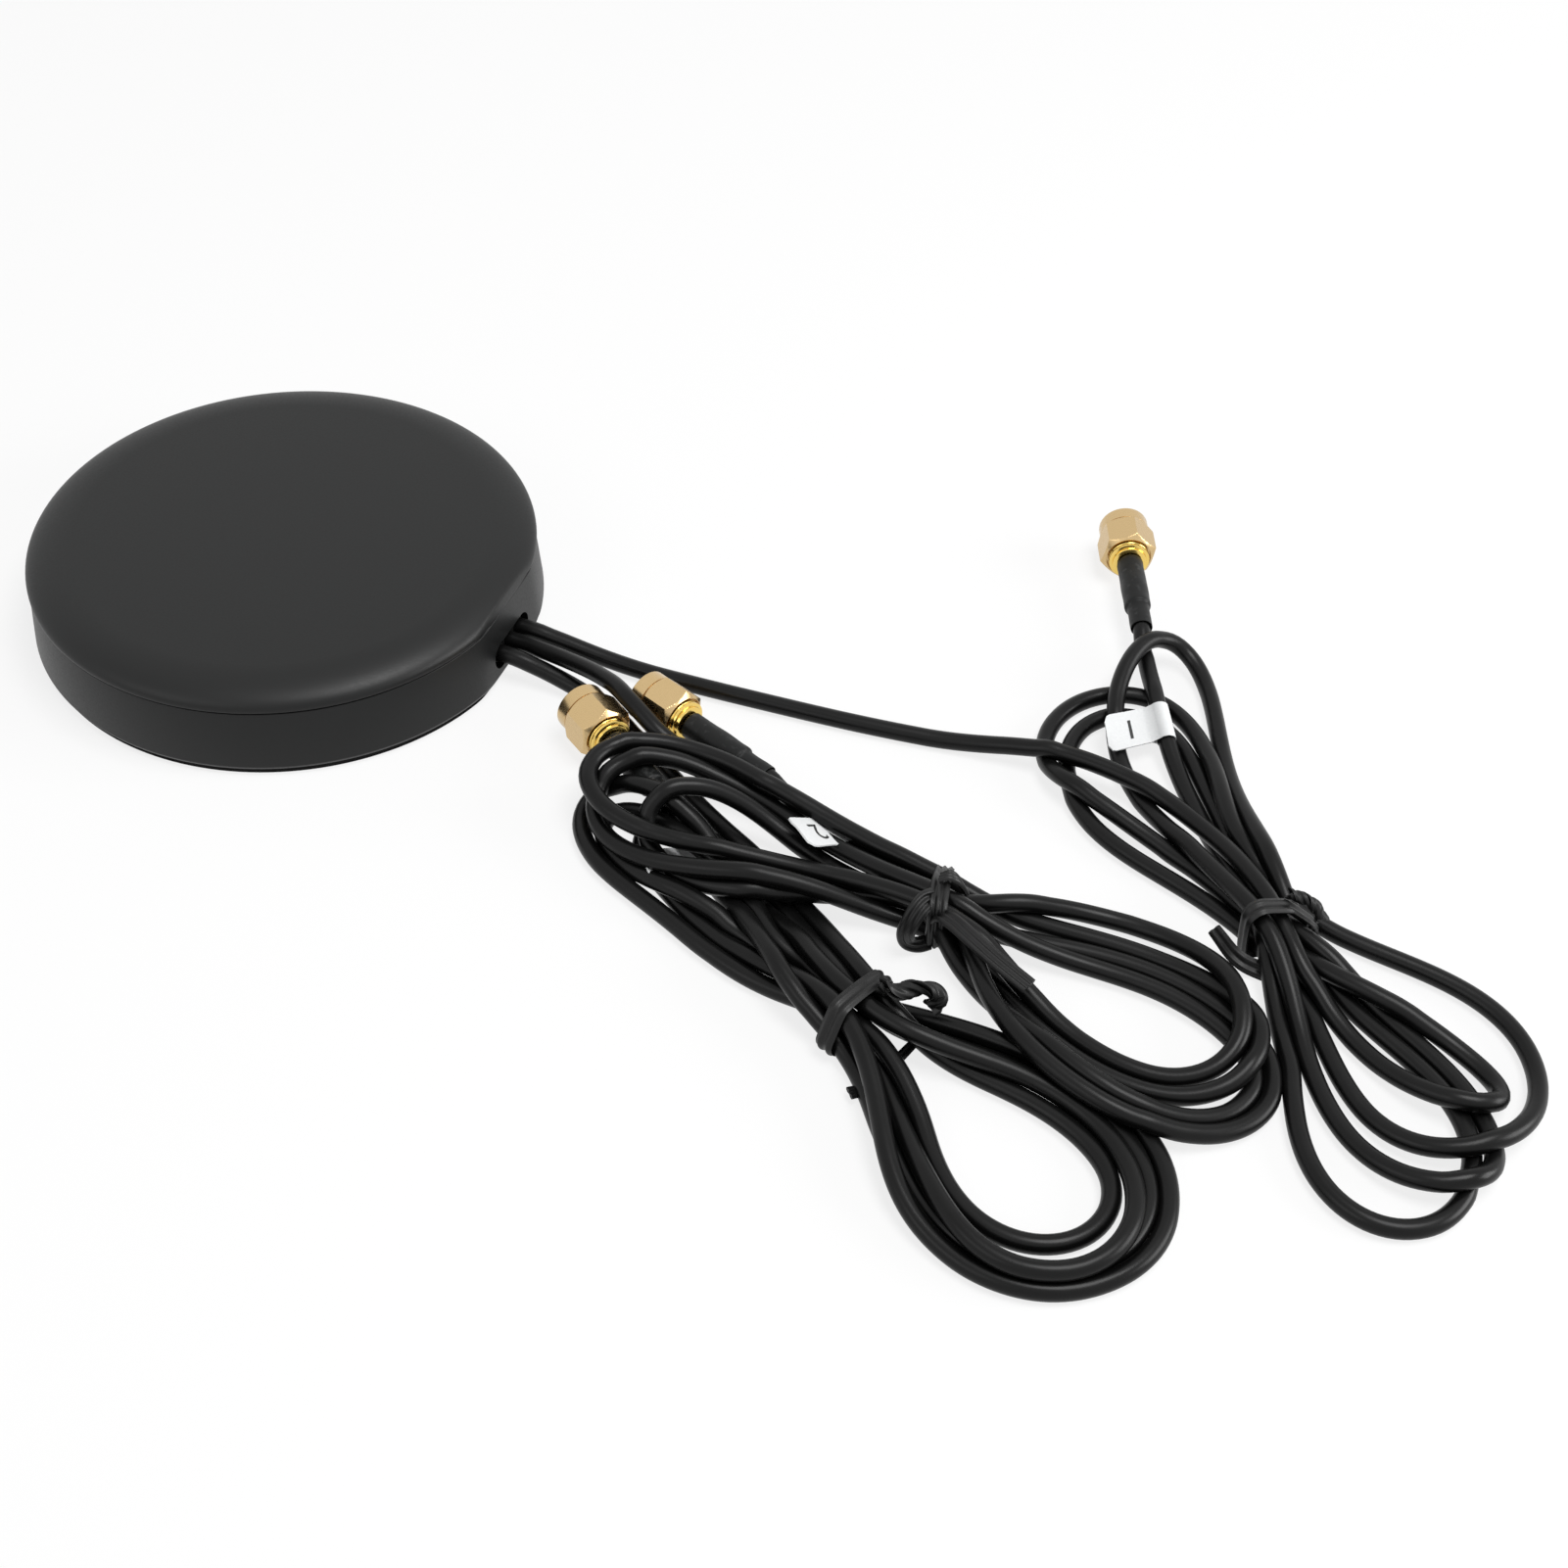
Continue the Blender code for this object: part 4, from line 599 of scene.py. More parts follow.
def push_apart(points, weight, pairs, distance):
    """Moves each pair of strands that are nearer than distance half the way out."""
    i, j = pairs
    between = points[j] - points[i]
    apart = np.linalg.norm(between, axis=1) + 1e-9
    total = weight[i] + weight[j]
    hit = (apart < distance) & (total > 0)
    i, j, between, apart, total = i[hit], j[hit], between[hit], apart[hit], total[hit]
    push = ((distance - apart) / apart / total * 0.5)[:, None] * between
    moved, count = np.zeros_like(points), np.zeros(len(points))
    np.add.at(moved, i, -push * weight[i][:, None])
    np.add.at(moved, j, push * weight[j][:, None])
    np.add.at(count, i, 1)
    np.add.at(count, j, 1)
    points += moved / np.maximum(1, np.sqrt(count))[:, None]


def settle(routes, radius, passes):
    """Lets the laid leads bend, slide off one another and come to rest near their routes."""
    leads = list(routes)
    places = [real_places(routes[n]["seen"], routes[n]["height"]) for n in leads]
    first = np.cumsum([0] + [len(p) for p in places])
    owner = np.concatenate([np.full(len(p), k) for k, p in enumerate(places)])
    points = np.vstack(places)
    seen = np.vstack([routes[n]["seen"] for n in leads])
    fixed = np.concatenate([routes[n]["fixed"] for n in leads])
    tied = np.concatenate([routes[n]["in_tie"] for n in leads])
    known = np.concatenate([~routes[n]["free"] for n in leads])
    target_height = np.concatenate([routes[n]["height"] for n in leads])
    weight = np.where(fixed, 0.0, 1.0)
    index = np.arange(len(points))
    joined = np.flatnonzero(owner[1:] == owner[:-1])
    spans = np.linalg.norm((points[joined + 1] - points[joined])[:, :2], axis=1)
    rest = np.array([spans[owner[joined] == owner[a]].mean() * 1.002 for a in joined])
    hold = np.where(tied, *PLACE_PULL) * weight
    hold_height = np.where(tied, *HEIGHT_PULL) * weight
    distance = 2 * radius + SPACE
    floor = radius + SPACE / 2
    bends = []
    for reach, amount in BEND_PULLS:
        q = index[2 * reach:-2 * reach]
        q = q[(owner[q - 2 * reach] == owner[q]) & (owner[q + 2 * reach] == owner[q])]
        bends.append((reach, (amount * weight[q])[:, None], q))
    capsules = []
    for start, end, thick, lead in hard_things():
        last = first[leads.index(lead) + 1]
        others = ~((owner == leads.index(lead)) & (index > last - PLUG_POINTS)) & (weight > 0)
        capsules.append((start, end - start, thick + radius + 0.05 * MM, others))
    for count in range(passes):
        if count % 8 == 0:
            square = ((points[:, None] - points[None]) ** 2).sum(2)
            apart = (owner[:, None] != owner[None]) | (index[None] - index[:, None] >= NO_MEETING)
            followed = (square < FOLLOWED**2) & (index[:, None] < index[None])
            pairs = np.nonzero(followed & apart)
        points[:, 2] -= FALL * weight
        fade = max(0.2, 1 - 0.8 * count / (0.7 * passes))
        target = seen + (points[:, 2:3] - SEEN_Z) * SEEN_SHIFT
        points[:, :2] += (fade * hold)[:, None] * (target - points[:, :2])
        lift = fade * hold_height * (target_height - points[:, 2])
        points[known, 2] += lift[known]
        for reach, amount, q in bends:
            near = points[q - reach] + points[q + reach]
            far = points[q - 2 * reach] + points[q + 2 * reach]
            points[q] += amount * ((4 * near - far) / 6 - points[q])
        for _ in range(3):
            push_apart(points, weight, pairs, distance)
            for start, span, clear, others in capsules:
                t = np.clip(((points - start) @ span) / (span @ span), 0, 1)
                away = points - start - t[:, None] * span
                far = np.linalg.norm(away, axis=1) + 1e-9
                hit = (far < clear) & others
                points[hit] += ((clear - far[hit]) / far[hit])[:, None] * away[hit] * 0.7
            points[:, 2] = np.where(weight > 0, np.maximum(points[:, 2], floor), points[:, 2])
            link = points[joined + 1] - points[joined]
            long = np.linalg.norm(link, axis=1) + 1e-9
            total = weight[joined] + weight[joined + 1]
            pull = np.where(total > 0, (long - rest) / long / np.maximum(total, 1e-9), 0) * 0.5
            np.add.at(points, joined, (pull * weight[joined])[:, None] * link)
            np.add.at(points, joined + 1, -(pull * weight[joined + 1])[:, None] * link)
    return {n: points[first[k]:first[k + 1]] for k, n in enumerate(leads)}


def lay_leads(diameter, step, passes):
    """The settled line of each lead."""
    routes = {lead: seen_route(lead, step) for lead in LEADS}
    lay_in_turn(routes, diameter / 2)
    return settle(routes, diameter / 2, passes)


# Each lead's finished line, and the pieces that it carries
LINES = {}
PIECES = {lead: [] for lead in LEADS}


def declare(piece, slot, *nodes, body="root"):
    """Puts a piece on the body that it rides on and hides the solids that it stands for. The slot
    argument is not used.
    """
    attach(piece, body)
    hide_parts(*nodes)
    return piece


# ---------------------------------------------------------------- materials

MATH = "ShaderNodeMath"
TIMES, TIMES_PLUS = {"operation": "MULTIPLY"}, {"operation": "MULTIPLY_ADD"}


def linear(code):
    """A shader colour from an sRGB hex code."""
    channels = [int(code[i:i + 2], 16) / 255 for i in (0, 2, 4)]
    channels = [c / 12.92 if c <= 0.04045 else ((c + 0.055) / 1.055) ** 2.4 for c in channels]
    return (*channels, 1.0)


def add(owner, kind, settings=None, links=None):
    """Adds a node to a material or a tree, sets its properties, and sets or links its inputs."""
    tree = getattr(owner, "node_tree", owner)
    node = tree.nodes.new(kind)
    for key, value in (settings or {}).items():
        setattr(node, key, value)
    for key, value in (links or {}).items():
        if isinstance(value, bpy.types.NodeSocket):
            tree.links.new(value, node.inputs[key])
        else:
            node.inputs[key].default_value = value
    return node


def surface(name, code, roughness, metallic=0.0, **more):
    """A new material with a plain surface. Returns it with its shader."""
    material = bpy.data.materials.new(name)
    material.use_nodes = True
    shader = material.node_tree.nodes["Principled BSDF"]
    shader.inputs["Base Color"].default_value = linear(code)
    shader.inputs["Roughness"].default_value = roughness
    shader.inputs["Metallic"].default_value = metallic
    for key, value in more.items():
        shader.inputs[key.replace("_", " ")].default_value = value
    return material, shader


def grain(material, size, detail=2.0):
    """Noise in the piece's own coordinates, its grains about size across, from 0 to 1."""
    place = add(material, "ShaderNodeTexCoord").outputs["Object"]
    links = {"Vector": place, "Scale": 1.0 / size, "Detail": detail, "Roughness": 0.55}
    return add(material, "ShaderNodeTexNoise", links=links).outputs["Fac"]


def uneven(material, shader, patches, low, high, relief, depth):
    """Roughness that goes from low to high with the patches, over a relief of the given depth."""
    links = {"Value": patches, "From Min": 0.3, "From Max": 0.7, "To Min": low, "To Max": high}
    rough = add(material, "ShaderNodeMapRange", links=links).outputs["Result"]
    links = {"Height": relief, "Distance": depth, "Strength": 0.5}
    normal = add(material, "ShaderNodeBump", links=links).outputs["Normal"]
    material.node_tree.links.new(rough, shader.inputs["Roughness"])
    material.node_tree.links.new(normal, shader.inputs["Normal"])


def two_toned(material, shader, value, first, second):
    """Base colour from first to second, both hex codes, as value goes from 0 to 1."""
    links = {"Factor": value, 6: linear(first), 7: linear(second)}
    colour = add(material, "ShaderNodeMix", {"data_type": "RGBA"}, links).outputs[2]
    material.node_tree.links.new(colour, shader.inputs["Base Color"])


def moulded_abs(name="charcoal_abs_from_a_spark_eroded_mould"):
    # The mould's fine erosion grain breaks the highlight into a soft, even satin.
    material, shader = surface(name, "0b0c0c", 0.5, IOR=1.54, Specular_IOR_Level=0.27)
    pores = grain(material, 0.35 * MM, 3.0)
    uneven(material, shader, pores, 0.39, 0.48, pores, 0.010 * MM)
    return material


def foam_pad():
    # Closed cells cut by the die leave a dull, pitted edge.
    dull = {"IOR": 1.45, "Specular_IOR_Level": 0.2}
    material, shader = surface("die_cut_closed_cell_foam", "0f0f0f", 0.92, **dull)
    place = add(material, "ShaderNodeTexCoord").outputs["Object"]
    links = {"Vector": place, "Scale": 1.0 / (0.5 * MM)}
    cells = add(material, "ShaderNodeTexVoronoi", links=links).outputs["Distance"]
    uneven(material, shader, cells, 0.88, 0.95, cells, 0.06 * MM)
    return material


def moulded_rubber():
    # Pressed rubber is matt, with a faint bloom in patches.
    dull = {"IOR": 1.5, "Specular_IOR_Level": 0.2}
    material, shader = surface("pressed_black_rubber", "0e0e0e", 0.8, **dull)
    bloom = grain(material, 1.5 * MM)
    uneven(material, shader, bloom, 0.7, 0.88, bloom, 0.004 * MM)
    return material


def extruded_pvc():
    # The die polishes the jacket, and handling leaves slow patches of haze along it.
    dark = {"IOR": 1.53, "Specular_IOR_Level": 0.18}
    material, shader = surface("extruded_pvc_jacket", "0b0b0b", 0.33, **dark)
    haze, drawn = grain(material, 9 * MM, 3.0), grain(material, 0.5 * MM)
    uneven(material, shader, haze, 0.27, 0.38, drawn, 0.005 * MM)
    return material


def shrunk_tube():
    # Recovered polyolefin sleeve: more matt than the jacket, greyer where it has been rubbed.
    dark = {"IOR": 1.51, "Specular_IOR_Level": 0.22}
    material, shader = surface("recovered_heat_shrink_sleeve", "0d0e0e", 0.5, **dark)
    links = {"Value": grain(material, 1.2 * MM, 4.0), "From Min": 0.56, "From Max": 0.76}
    rubbed = add(material, "ShaderNodeMapRange", links=links).outputs["Result"]
    two_toned(material, shader, rubbed, "0e0f0f", "383939")
    patches, ripple = grain(material, 3 * MM), grain(material, 0.9 * MM)
    uneven(material, shader, patches, 0.40, 0.54, ripple, 0.02 * MM)
    return material


def satin_gold(name, code, low, high):
    # Gold flashed over turned and milled brass, where the cutter's fine marks soften the glints.
    material, shader = surface(name, code, (low + high) / 2, 1.0)
    marks = grain(material, 0.6 * MM, 3.0)
    uneven(material, shader, marks, low, high, marks, 0.0012 * MM)
    return material


def ribbed_tie():
    # Soft vinyl pressed over wire, with a waxy sheen on the ribs.
    waxy = {"IOR": 1.53, "Specular_IOR_Level": 0.28}
    material, shader = surface("vinyl_covered_wire_tie", "0f0f0f", 0.45, **waxy)
    patches, relief = grain(material, 2 * MM), grain(material, 0.7 * MM)
    uneven(material, shader, patches, 0.36, 0.52, relief, 0.01 * MM)
    return material


def label_stock():
    # Matt paper label, a little translucent and a little uneven.
    material, shader = surface("matt_paper_label_stock", "e6e7e7", 0.62, IOR=1.45)
    fibres = grain(material, 0.4 * MM, 3.0)
    two_toned(material, shader, fibres, "dcdedf", "edeeee")
    uneven(material, shader, fibres, 0.58, 0.66, fibres, 0.01 * MM)
    return material


def plain(name, code, roughness, metallic=0.0, size=1.0 * MM, **more):
    """A simple finish: one colour, roughness in patches and a slight relief."""
    material, shader = surface(name, code, roughness, metallic, **more)
    patches, spread = grain(material, size, 3.0), 0.06
    low, high = roughness - spread, roughness + spread
    uneven(material, shader, patches, low, high, patches, 0.006 * MM)
    return material


def carried_over_finishes():
    """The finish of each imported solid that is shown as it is."""
    # Resist over copper is glossy, and the metals differ only in how their tools left them
    abs_grain = moulded_abs("charcoal_abs_inner_parts")
    board = plain("solder_masked_laminate", "1c5a2c", 0.35, size=2 * MM, IOR=1.56)
    steel = plain("dark_plated_screw_steel", "7a7c80", 0.38, 1.0, 0.5 * MM)
    spring = plain("hard_drawn_spring_steel", "8c8d90", 0.34, 1.0, 0.4 * MM)
    finishes = {
        "base_plate": abs_grain,
        "lead_clamp": abs_grain,
        "base_gasket": moulded_rubber(),
        "main_board": board,
        "main_radiator": board,
        "aux_radiator": board,
        "ceramic_patch": plain("fired_dielectric_ceramic", "cfc2a6", 0.6, 0.0, 0.6 * MM, IOR=1.7),
        "patch_electrode": plain("fired_silver_paste", "dcdad4", 0.34, 1.0, 0.8 * MM),
        "amplifier_shield": plain("bright_tinned_can", "c3c5c8", 0.3, 1.0, 2 * MM),
    }
    for number in (1, 2, 3, 4):
        finishes[f"base_screw_{number}"] = steel
    for number in (1, 2):
        finishes[f"clamp_screw_{number}"] = steel
    for lead in LEADS:
        finishes[f"{lead}_snap_ring"] = spring
    return finishes


# ---------------------------------------------------------------- settings


def length(name, description, default):
    """A setting that is a length in metres."""
    kind = {"unit": "LENGTH", "subtype": "DISTANCE"}
    return FloatProperty(name=name, description=description, default=default, **kind)


class PuckLooks(bpy.types.PropertyGroup):
    radius: length("Radius", "Radius at the foot of the wall", 0.040)
    rim_radius: length("Rim radius", "Radius just under the rim", 0.039)
    height: length("Height", "Height of the flat top above the ground", 0.015)
    rim_height: length("Rim height", "Height of the rim's crisp line", 0.0122)
    flat_radius: length("Top flat radius", "Radius where the top starts to roll off", 0.032)
    flat_at_base: length("Flat at base", "Flat side's distance from the middle, at foot", 0.0388)
    flat_at_rim: length("Flat at rim", "Flat side's distance from the middle, at the rim", 0.0382)
    edge: length("Edge radius", "Rounding of the flat side's upright edges", 0.0003)
    steps: IntProperty(name="Steps", description="Points round the wall", default=288, min=64)


class LeadLooks(bpy.types.PropertyGroup):
    diameter: length("Diameter", "Outside diameter of the jacket", 0.0027)
    pitch: length("Pitch", "Distance between the leads where they leave the puck", 0.0034)
    exit_height: length("Exit height", "Height of the leads where they leave the puck", 0.0043)
    step: length("Laying step", "Distance between the points that are laid", 0.002)
    fine_step: length("Fine step", "Distance between the points of the finished curve", 0.0009)
    passes: IntProperty(
        name="Passes", description="How long the leads are left to settle", default=300, min=1,
    )


class PlugLooks(bpy.types.PropertyGroup):
    flats: length("Across flats", "Width of the coupling nut across its flats", 0.008)
    half_length: length("Half length", "Half the length of the coupling nut with its collar", 0.004)
    collar_length: length("Collar length", "Length of the round collar at the mating end", 0.0024)
    collar_radius: length("Collar radius", "Outside radius of the collar", 0.00395)
    thread_radius: length("Thread radius", "Outer radius of the thread inside the nut", 0.0032)
    thread_pitch: length("Thread pitch", "Distance from one thread to the next", 0.0007)
    steps: IntProperty(name="Steps", description="Points round a turned piece", default=96, min=24)


class TieLooks(bpy.types.PropertyGroup):
    width: length("Width", "Width of the ribbed tie", 0.0028)
    thickness: length("Thickness", "Thickness of the tie between its ribs", 0.0004)
    rib: length("Rib", "Height of a rib above the tie's face", 0.0003)


class FlagLooks(bpy.types.PropertyGroup):
    length: length("Length", "Length of the flag from the lead", 0.0078)
    width: length("Width", "Width of the flag along the lead", 0.0064)
    thickness: length("Thickness", "Thickness of one leaf of the label", 0.00012)
    corner: length("Corner", "Corner radius of the flag", 0.0012)
    digit: length("Digit", "Height of the printed number", 0.0034)
    numbers: StringProperty(
        name="Numbers", description="Digits for the gps, main and aux flags", default="123",
    )


class StageLooks(bpy.types.PropertyGroup):
    floor_side: length("Floor side", "Side of the pale floor", 4.0)
    lens: FloatProperty(
        name="Lens", description="Focal length on a 36 mm sensor, in mm", default=53.94,
    )
    roll: FloatProperty(
        name="Roll", description="Roll of the camera", default=math.radians(1.85), subtype="ANGLE",
    )
    world: FloatProperty(
        name="World", description="Strength of the light from all round", default=0.22, min=0,
    )
    whiteness: FloatProperty(
        name="Whiteness", description="Share of plain white in the floor", default=0.8, min=0,
    )


# ---------------------------------------------------------------- node trees


def new_tree(name, inputs):
    """A Geometry Nodes tree with named inputs. Returns it with its input sockets."""
    tree = bpy.data.node_groups.new(name, "GeometryNodeTree")
    for label, kind in inputs.items():
        tree.interface.new_socket(label, in_out="INPUT", socket_type=f"NodeSocket{kind}")
    tree.interface.new_socket("Geometry", in_out="OUTPUT", socket_type="NodeSocketGeometry")
    return tree, add(tree, "NodeGroupInput").outputs


def end_tree(tree, geometry, material):
    """Ends a tree in real geometry that carries its material."""
    real = add(tree, "GeometryNodeRealizeInstances", links={"Geometry": geometry}).outputs
    links = {"Geometry": real["Geometry"], "Material": material}
    done = add(tree, "GeometryNodeSetMaterial", links=links)
    add(tree, "NodeGroupOutput", links={"Geometry": done.outputs["Geometry"]})


def grown(mesh, tree, values):
    """The plain mesh that a tree makes of a mesh. Its inputs are set by their identifiers."""
    holder = bpy.data.objects.new(tree.name, mesh)
    bpy.context.scene.collection.objects.link(holder)
    step = holder.modifiers.new("shape", "NODES")
    step.node_group = tree
    for socket in tree.interface.items_tree:
        if socket.in_out == "INPUT" and socket.name in values:
            step[socket.identifier] = values[socket.name]
    evaluated(holder)
    made = holder.data
    bpy.data.objects.remove(holder)
    return made


def tie_tree():
    """A ribbed strip along each line of a mesh, turned by its facing and scaled by its fullness."""
    kinds = {"Geometry": "Geometry", "Width": "Float", "Thickness": "Float", "Rib": "Float",
             "Ribs": "Int", "Material": "Material"}
    tree, given = new_tree("ribbed_strip", kinds)
    line = add(tree, "GeometryNodeMeshToCurve", links={"Mesh": given["Geometry"]}).outputs["Curve"]
    carried = "GeometryNodeInputNamedAttribute"
    facing = add(tree, carried, {"data_type": "FLOAT_VECTOR"}, {"Name": "facing"})
    full = add(tree, carried, {"data_type": "FLOAT"}, {"Name": "full"})
    links = {"Curve": line, "Normal": facing.outputs["Attribute"]}
    line = add(tree, "GeometryNodeSetCurveNormal", {"mode": "FREE"}, links).outputs["Curve"]
    # The section is a ring of points: out along the ribbed face and back along a flatter one
    round_it = add(tree, "GeometryNodeSplineParameter").outputs["Factor"]
    there = add(tree, MATH, {"operation": "PINGPONG"}, {0: round_it, 1: 0.5}).outputs[0]
    across = add(tree, MATH, TIMES_PLUS, {0: there, 1: 2.0, 2: -0.5}).outputs[0]
    wide = add(tree, MATH, TIMES, {0: across, 1: given["Width"]}).outputs[0]
    turn = add(tree, MATH, TIMES, {0: there, 1: given["Ribs"]}).outputs[0]
    turn = add(tree, MATH, TIMES, {0: turn, 1: 4 * math.pi}).outputs[0]
    wave = add(tree, MATH, {"operation": "COSINE"}, {0: turn}).outputs[0]
    wave = add(tree, MATH, TIMES_PLUS, {0: wave, 1: -0.5, 2: 0.5}).outputs[0]
    half = add(tree, MATH, TIMES, {0: given["Thickness"], 1: 0.5}).outputs[0]
    links = {0: wave, 1: given["Rib"], 2: half}
    high = add(tree, MATH, TIMES_PLUS, links).outputs[0]
    front = add(tree, MATH, {"operation": "LESS_THAN"}, {0: round_it, 1: 0.5}).outputs[0]
    side = add(tree, MATH, TIMES_PLUS, {0: front, 1: 1.7, 2: -0.7}).outputs[0]
    high = add(tree, MATH, TIMES, {0: high, 1: side}).outputs[0]
    count = add(tree, MATH, TIMES, {0: given["Ribs"], 1: 16.0}).outputs[0]
    links = {"Resolution": count}
    ring = add(tree, "GeometryNodeCurvePrimitiveCircle", links=links).outputs["Curve"]
    place = add(tree, "ShaderNodeCombineXYZ", links={"X": high, "Y": wide}).outputs["Vector"]
    links = {"Geometry": ring, "Position": place}
    ring = add(tree, "GeometryNodeSetPosition", links=links).outputs["Geometry"]
    size = full.outputs["Attribute"]
    links = {"Curve": line, "Profile Curve": ring, "Scale": size, "Fill Caps": True}
    strip = add(tree, "GeometryNodeCurveToMesh", links=links).outputs["Mesh"]
    end_tree(tree, strip, given["Material"])
    return tree


def thread_tree():
    """A helical ridge round X, its core on the wall of a bore, run out at both ends."""
    sizes = ("Radius", "Depth", "Base", "Crest", "Turns", "Length", "Start")
    kinds = {"Geometry": "Geometry", **dict.fromkeys(sizes, "Float"), "Material": "Material"}
    tree, given = new_tree("bore_thread", kinds)
    links = {"Resolution": 48, "Rotations": given["Turns"], "Start Radius": given["Radius"],
             "End Radius": given["Radius"], "Height": given["Length"]}
    helix = add(tree, "GeometryNodeCurveSpiral", links=links).outputs["Curve"]
    upright = {"mode": "Z_UP"}
    helix = add(tree, "GeometryNodeSetCurveNormal", upright, {"Curve": helix}).outputs["Curve"]
    tall = add(tree, MATH, TIMES, {0: given["Depth"], 1: 2.0}).outputs[0]
    links = {"Bottom Width": given["Base"], "Top Width": given["Crest"], "Height": tall,
             "Offset": 0.0}
    ridge = add(tree, "GeometryNodeCurvePrimitiveQuadrilateral", {"mode": "TRAPEZOID"}, links)
    # This turn points the crest at the axis
    links = {"Geometry": ridge.outputs["Curve"], "Rotation": (0.0, 0.0, -math.pi / 2)}
    ridge = add(tree, "GeometryNodeTransform", links=links).outputs["Geometry"]
    along = add(tree, "GeometryNodeSplineParameter").outputs["Factor"]
    out = add(tree, MATH, {"operation": "PINGPONG"}, {0: along, 1: 0.5}).outputs[0]
    out = add(tree, MATH, TIMES_PLUS, {0: out, 1: 8.0, 2: 0.03}).outputs[0]
    out = add(tree, MATH, {"operation": "MINIMUM"}, {0: out, 1: 1.0}).outputs[0]
    links = {"Curve": helix, "Profile Curve": ridge, "Scale": out, "Fill Caps": True}
    thread = add(tree, "GeometryNodeCurveToMesh", links=links).outputs["Mesh"]
    shift = add(tree, "ShaderNodeCombineXYZ", links={"X": given["Start"]}).outputs["Vector"]
    links = {"Geometry": thread, "Translation": shift, "Rotation": (0.0, math.pi / 2, 0.0)}
    thread = add(tree, "GeometryNodeTransform", links=links).outputs["Geometry"]
    end_tree(tree, thread, given["Material"])
    return tree


# ---------------------------------------------------------------- puck

# Inside the cover: radius of its wall below and above the shelf, height of the shelf and of the
# curve under the top, and the middle and width of that curve
LOWER_WALL, UPPER_WALL = 0.0374, 0.0360
SHELF_Z, CURVE_Z = 0.0038, 0.0110
CURVE_MIDDLE, CURVE_WIDTH = (0.0300, 0.0080), 0.0060
# The mouth in the cover's flat side, the rubber seal in it, and each lead's hole through the seal
MOUTH = {"width": 0.0118, "height": 0.0042, "x_low": 0.0320, "x_high": 0.0420, "z": 0.0043}
SEAL_FRONT, SEAL_DEPTH = 0.0375, 0.0028
SEAL_WIDTH, SEAL_HEIGHT = 0.0112, 0.0036
HOLE_STEPS = 40
# The pad stays back from the cover's foot, and its die-cut edge is drawn in a little
PAD_INSET, PAD_TOP = 0.8 * MM, 0.8 * MM


def softened(first, second, width):
    """The smaller of two distances, with a rounded change from one to the other."""
    return (first + second - np.sqrt((first - second) ** 2 + width**2)) / 2


def wall_angles(steps, edge_angle):
    """Angles round the puck, closer together near the upright edges of its flat side."""
    near = np.linspace(-1.6 * edge_angle, 1.6 * edge_angle, steps // 2, endpoint=False)
    rest = np.linspace(1.6 * edge_angle, 2 * math.pi - 1.6 * edge_angle, steps // 2, endpoint=False)
    return np.concatenate([near, rest])


def flat_sided(bm, profile, flat_at, angles, edge):
    """Turns a closed (radius, z) profile round Z and planes it to the distance flat_at(z) on +X."""
    rows = []
    for radius, z in profile:
        if radius < 1e-7:
            rows.append([bm.verts.new((0.0, 0.0, z))])
            continue
        facing = np.cos(angles)
        plane = np.where(facing > 0.5, flat_at(z) / np.maximum(facing, 0.5), 1.0)
        reach = softened(radius, plane, edge)
        row = np.column_stack([reach * facing, reach * np.sin(angles), np.full(len(angles), z)])
        rows.append([bm.verts.new(p) for p in row])
    for lower, upper in zip(rows, rows[1:]):
        if len(lower) == 1 or len(upper) == 1:
            pole, ring = (lower[0], upper) if len(lower) == 1 else (upper[0], lower)
            for j, vert in enumerate(ring):
                bm.faces.new((pole, vert, ring[(j + 1) % len(ring)]))
        else:
            grid_faces(bm, [lower, upper])


def ellipse_arc(centre, radii, start, stop, steps):
    """Points on an upright ellipse between two angles in degrees."""
    out = []
    for angle in np.radians(np.linspace(start, stop, steps + 1)):
        out.append((centre[0] + radii[0] * math.cos(angle), centre[1] + radii[1] * math.sin(angle)))
    return out


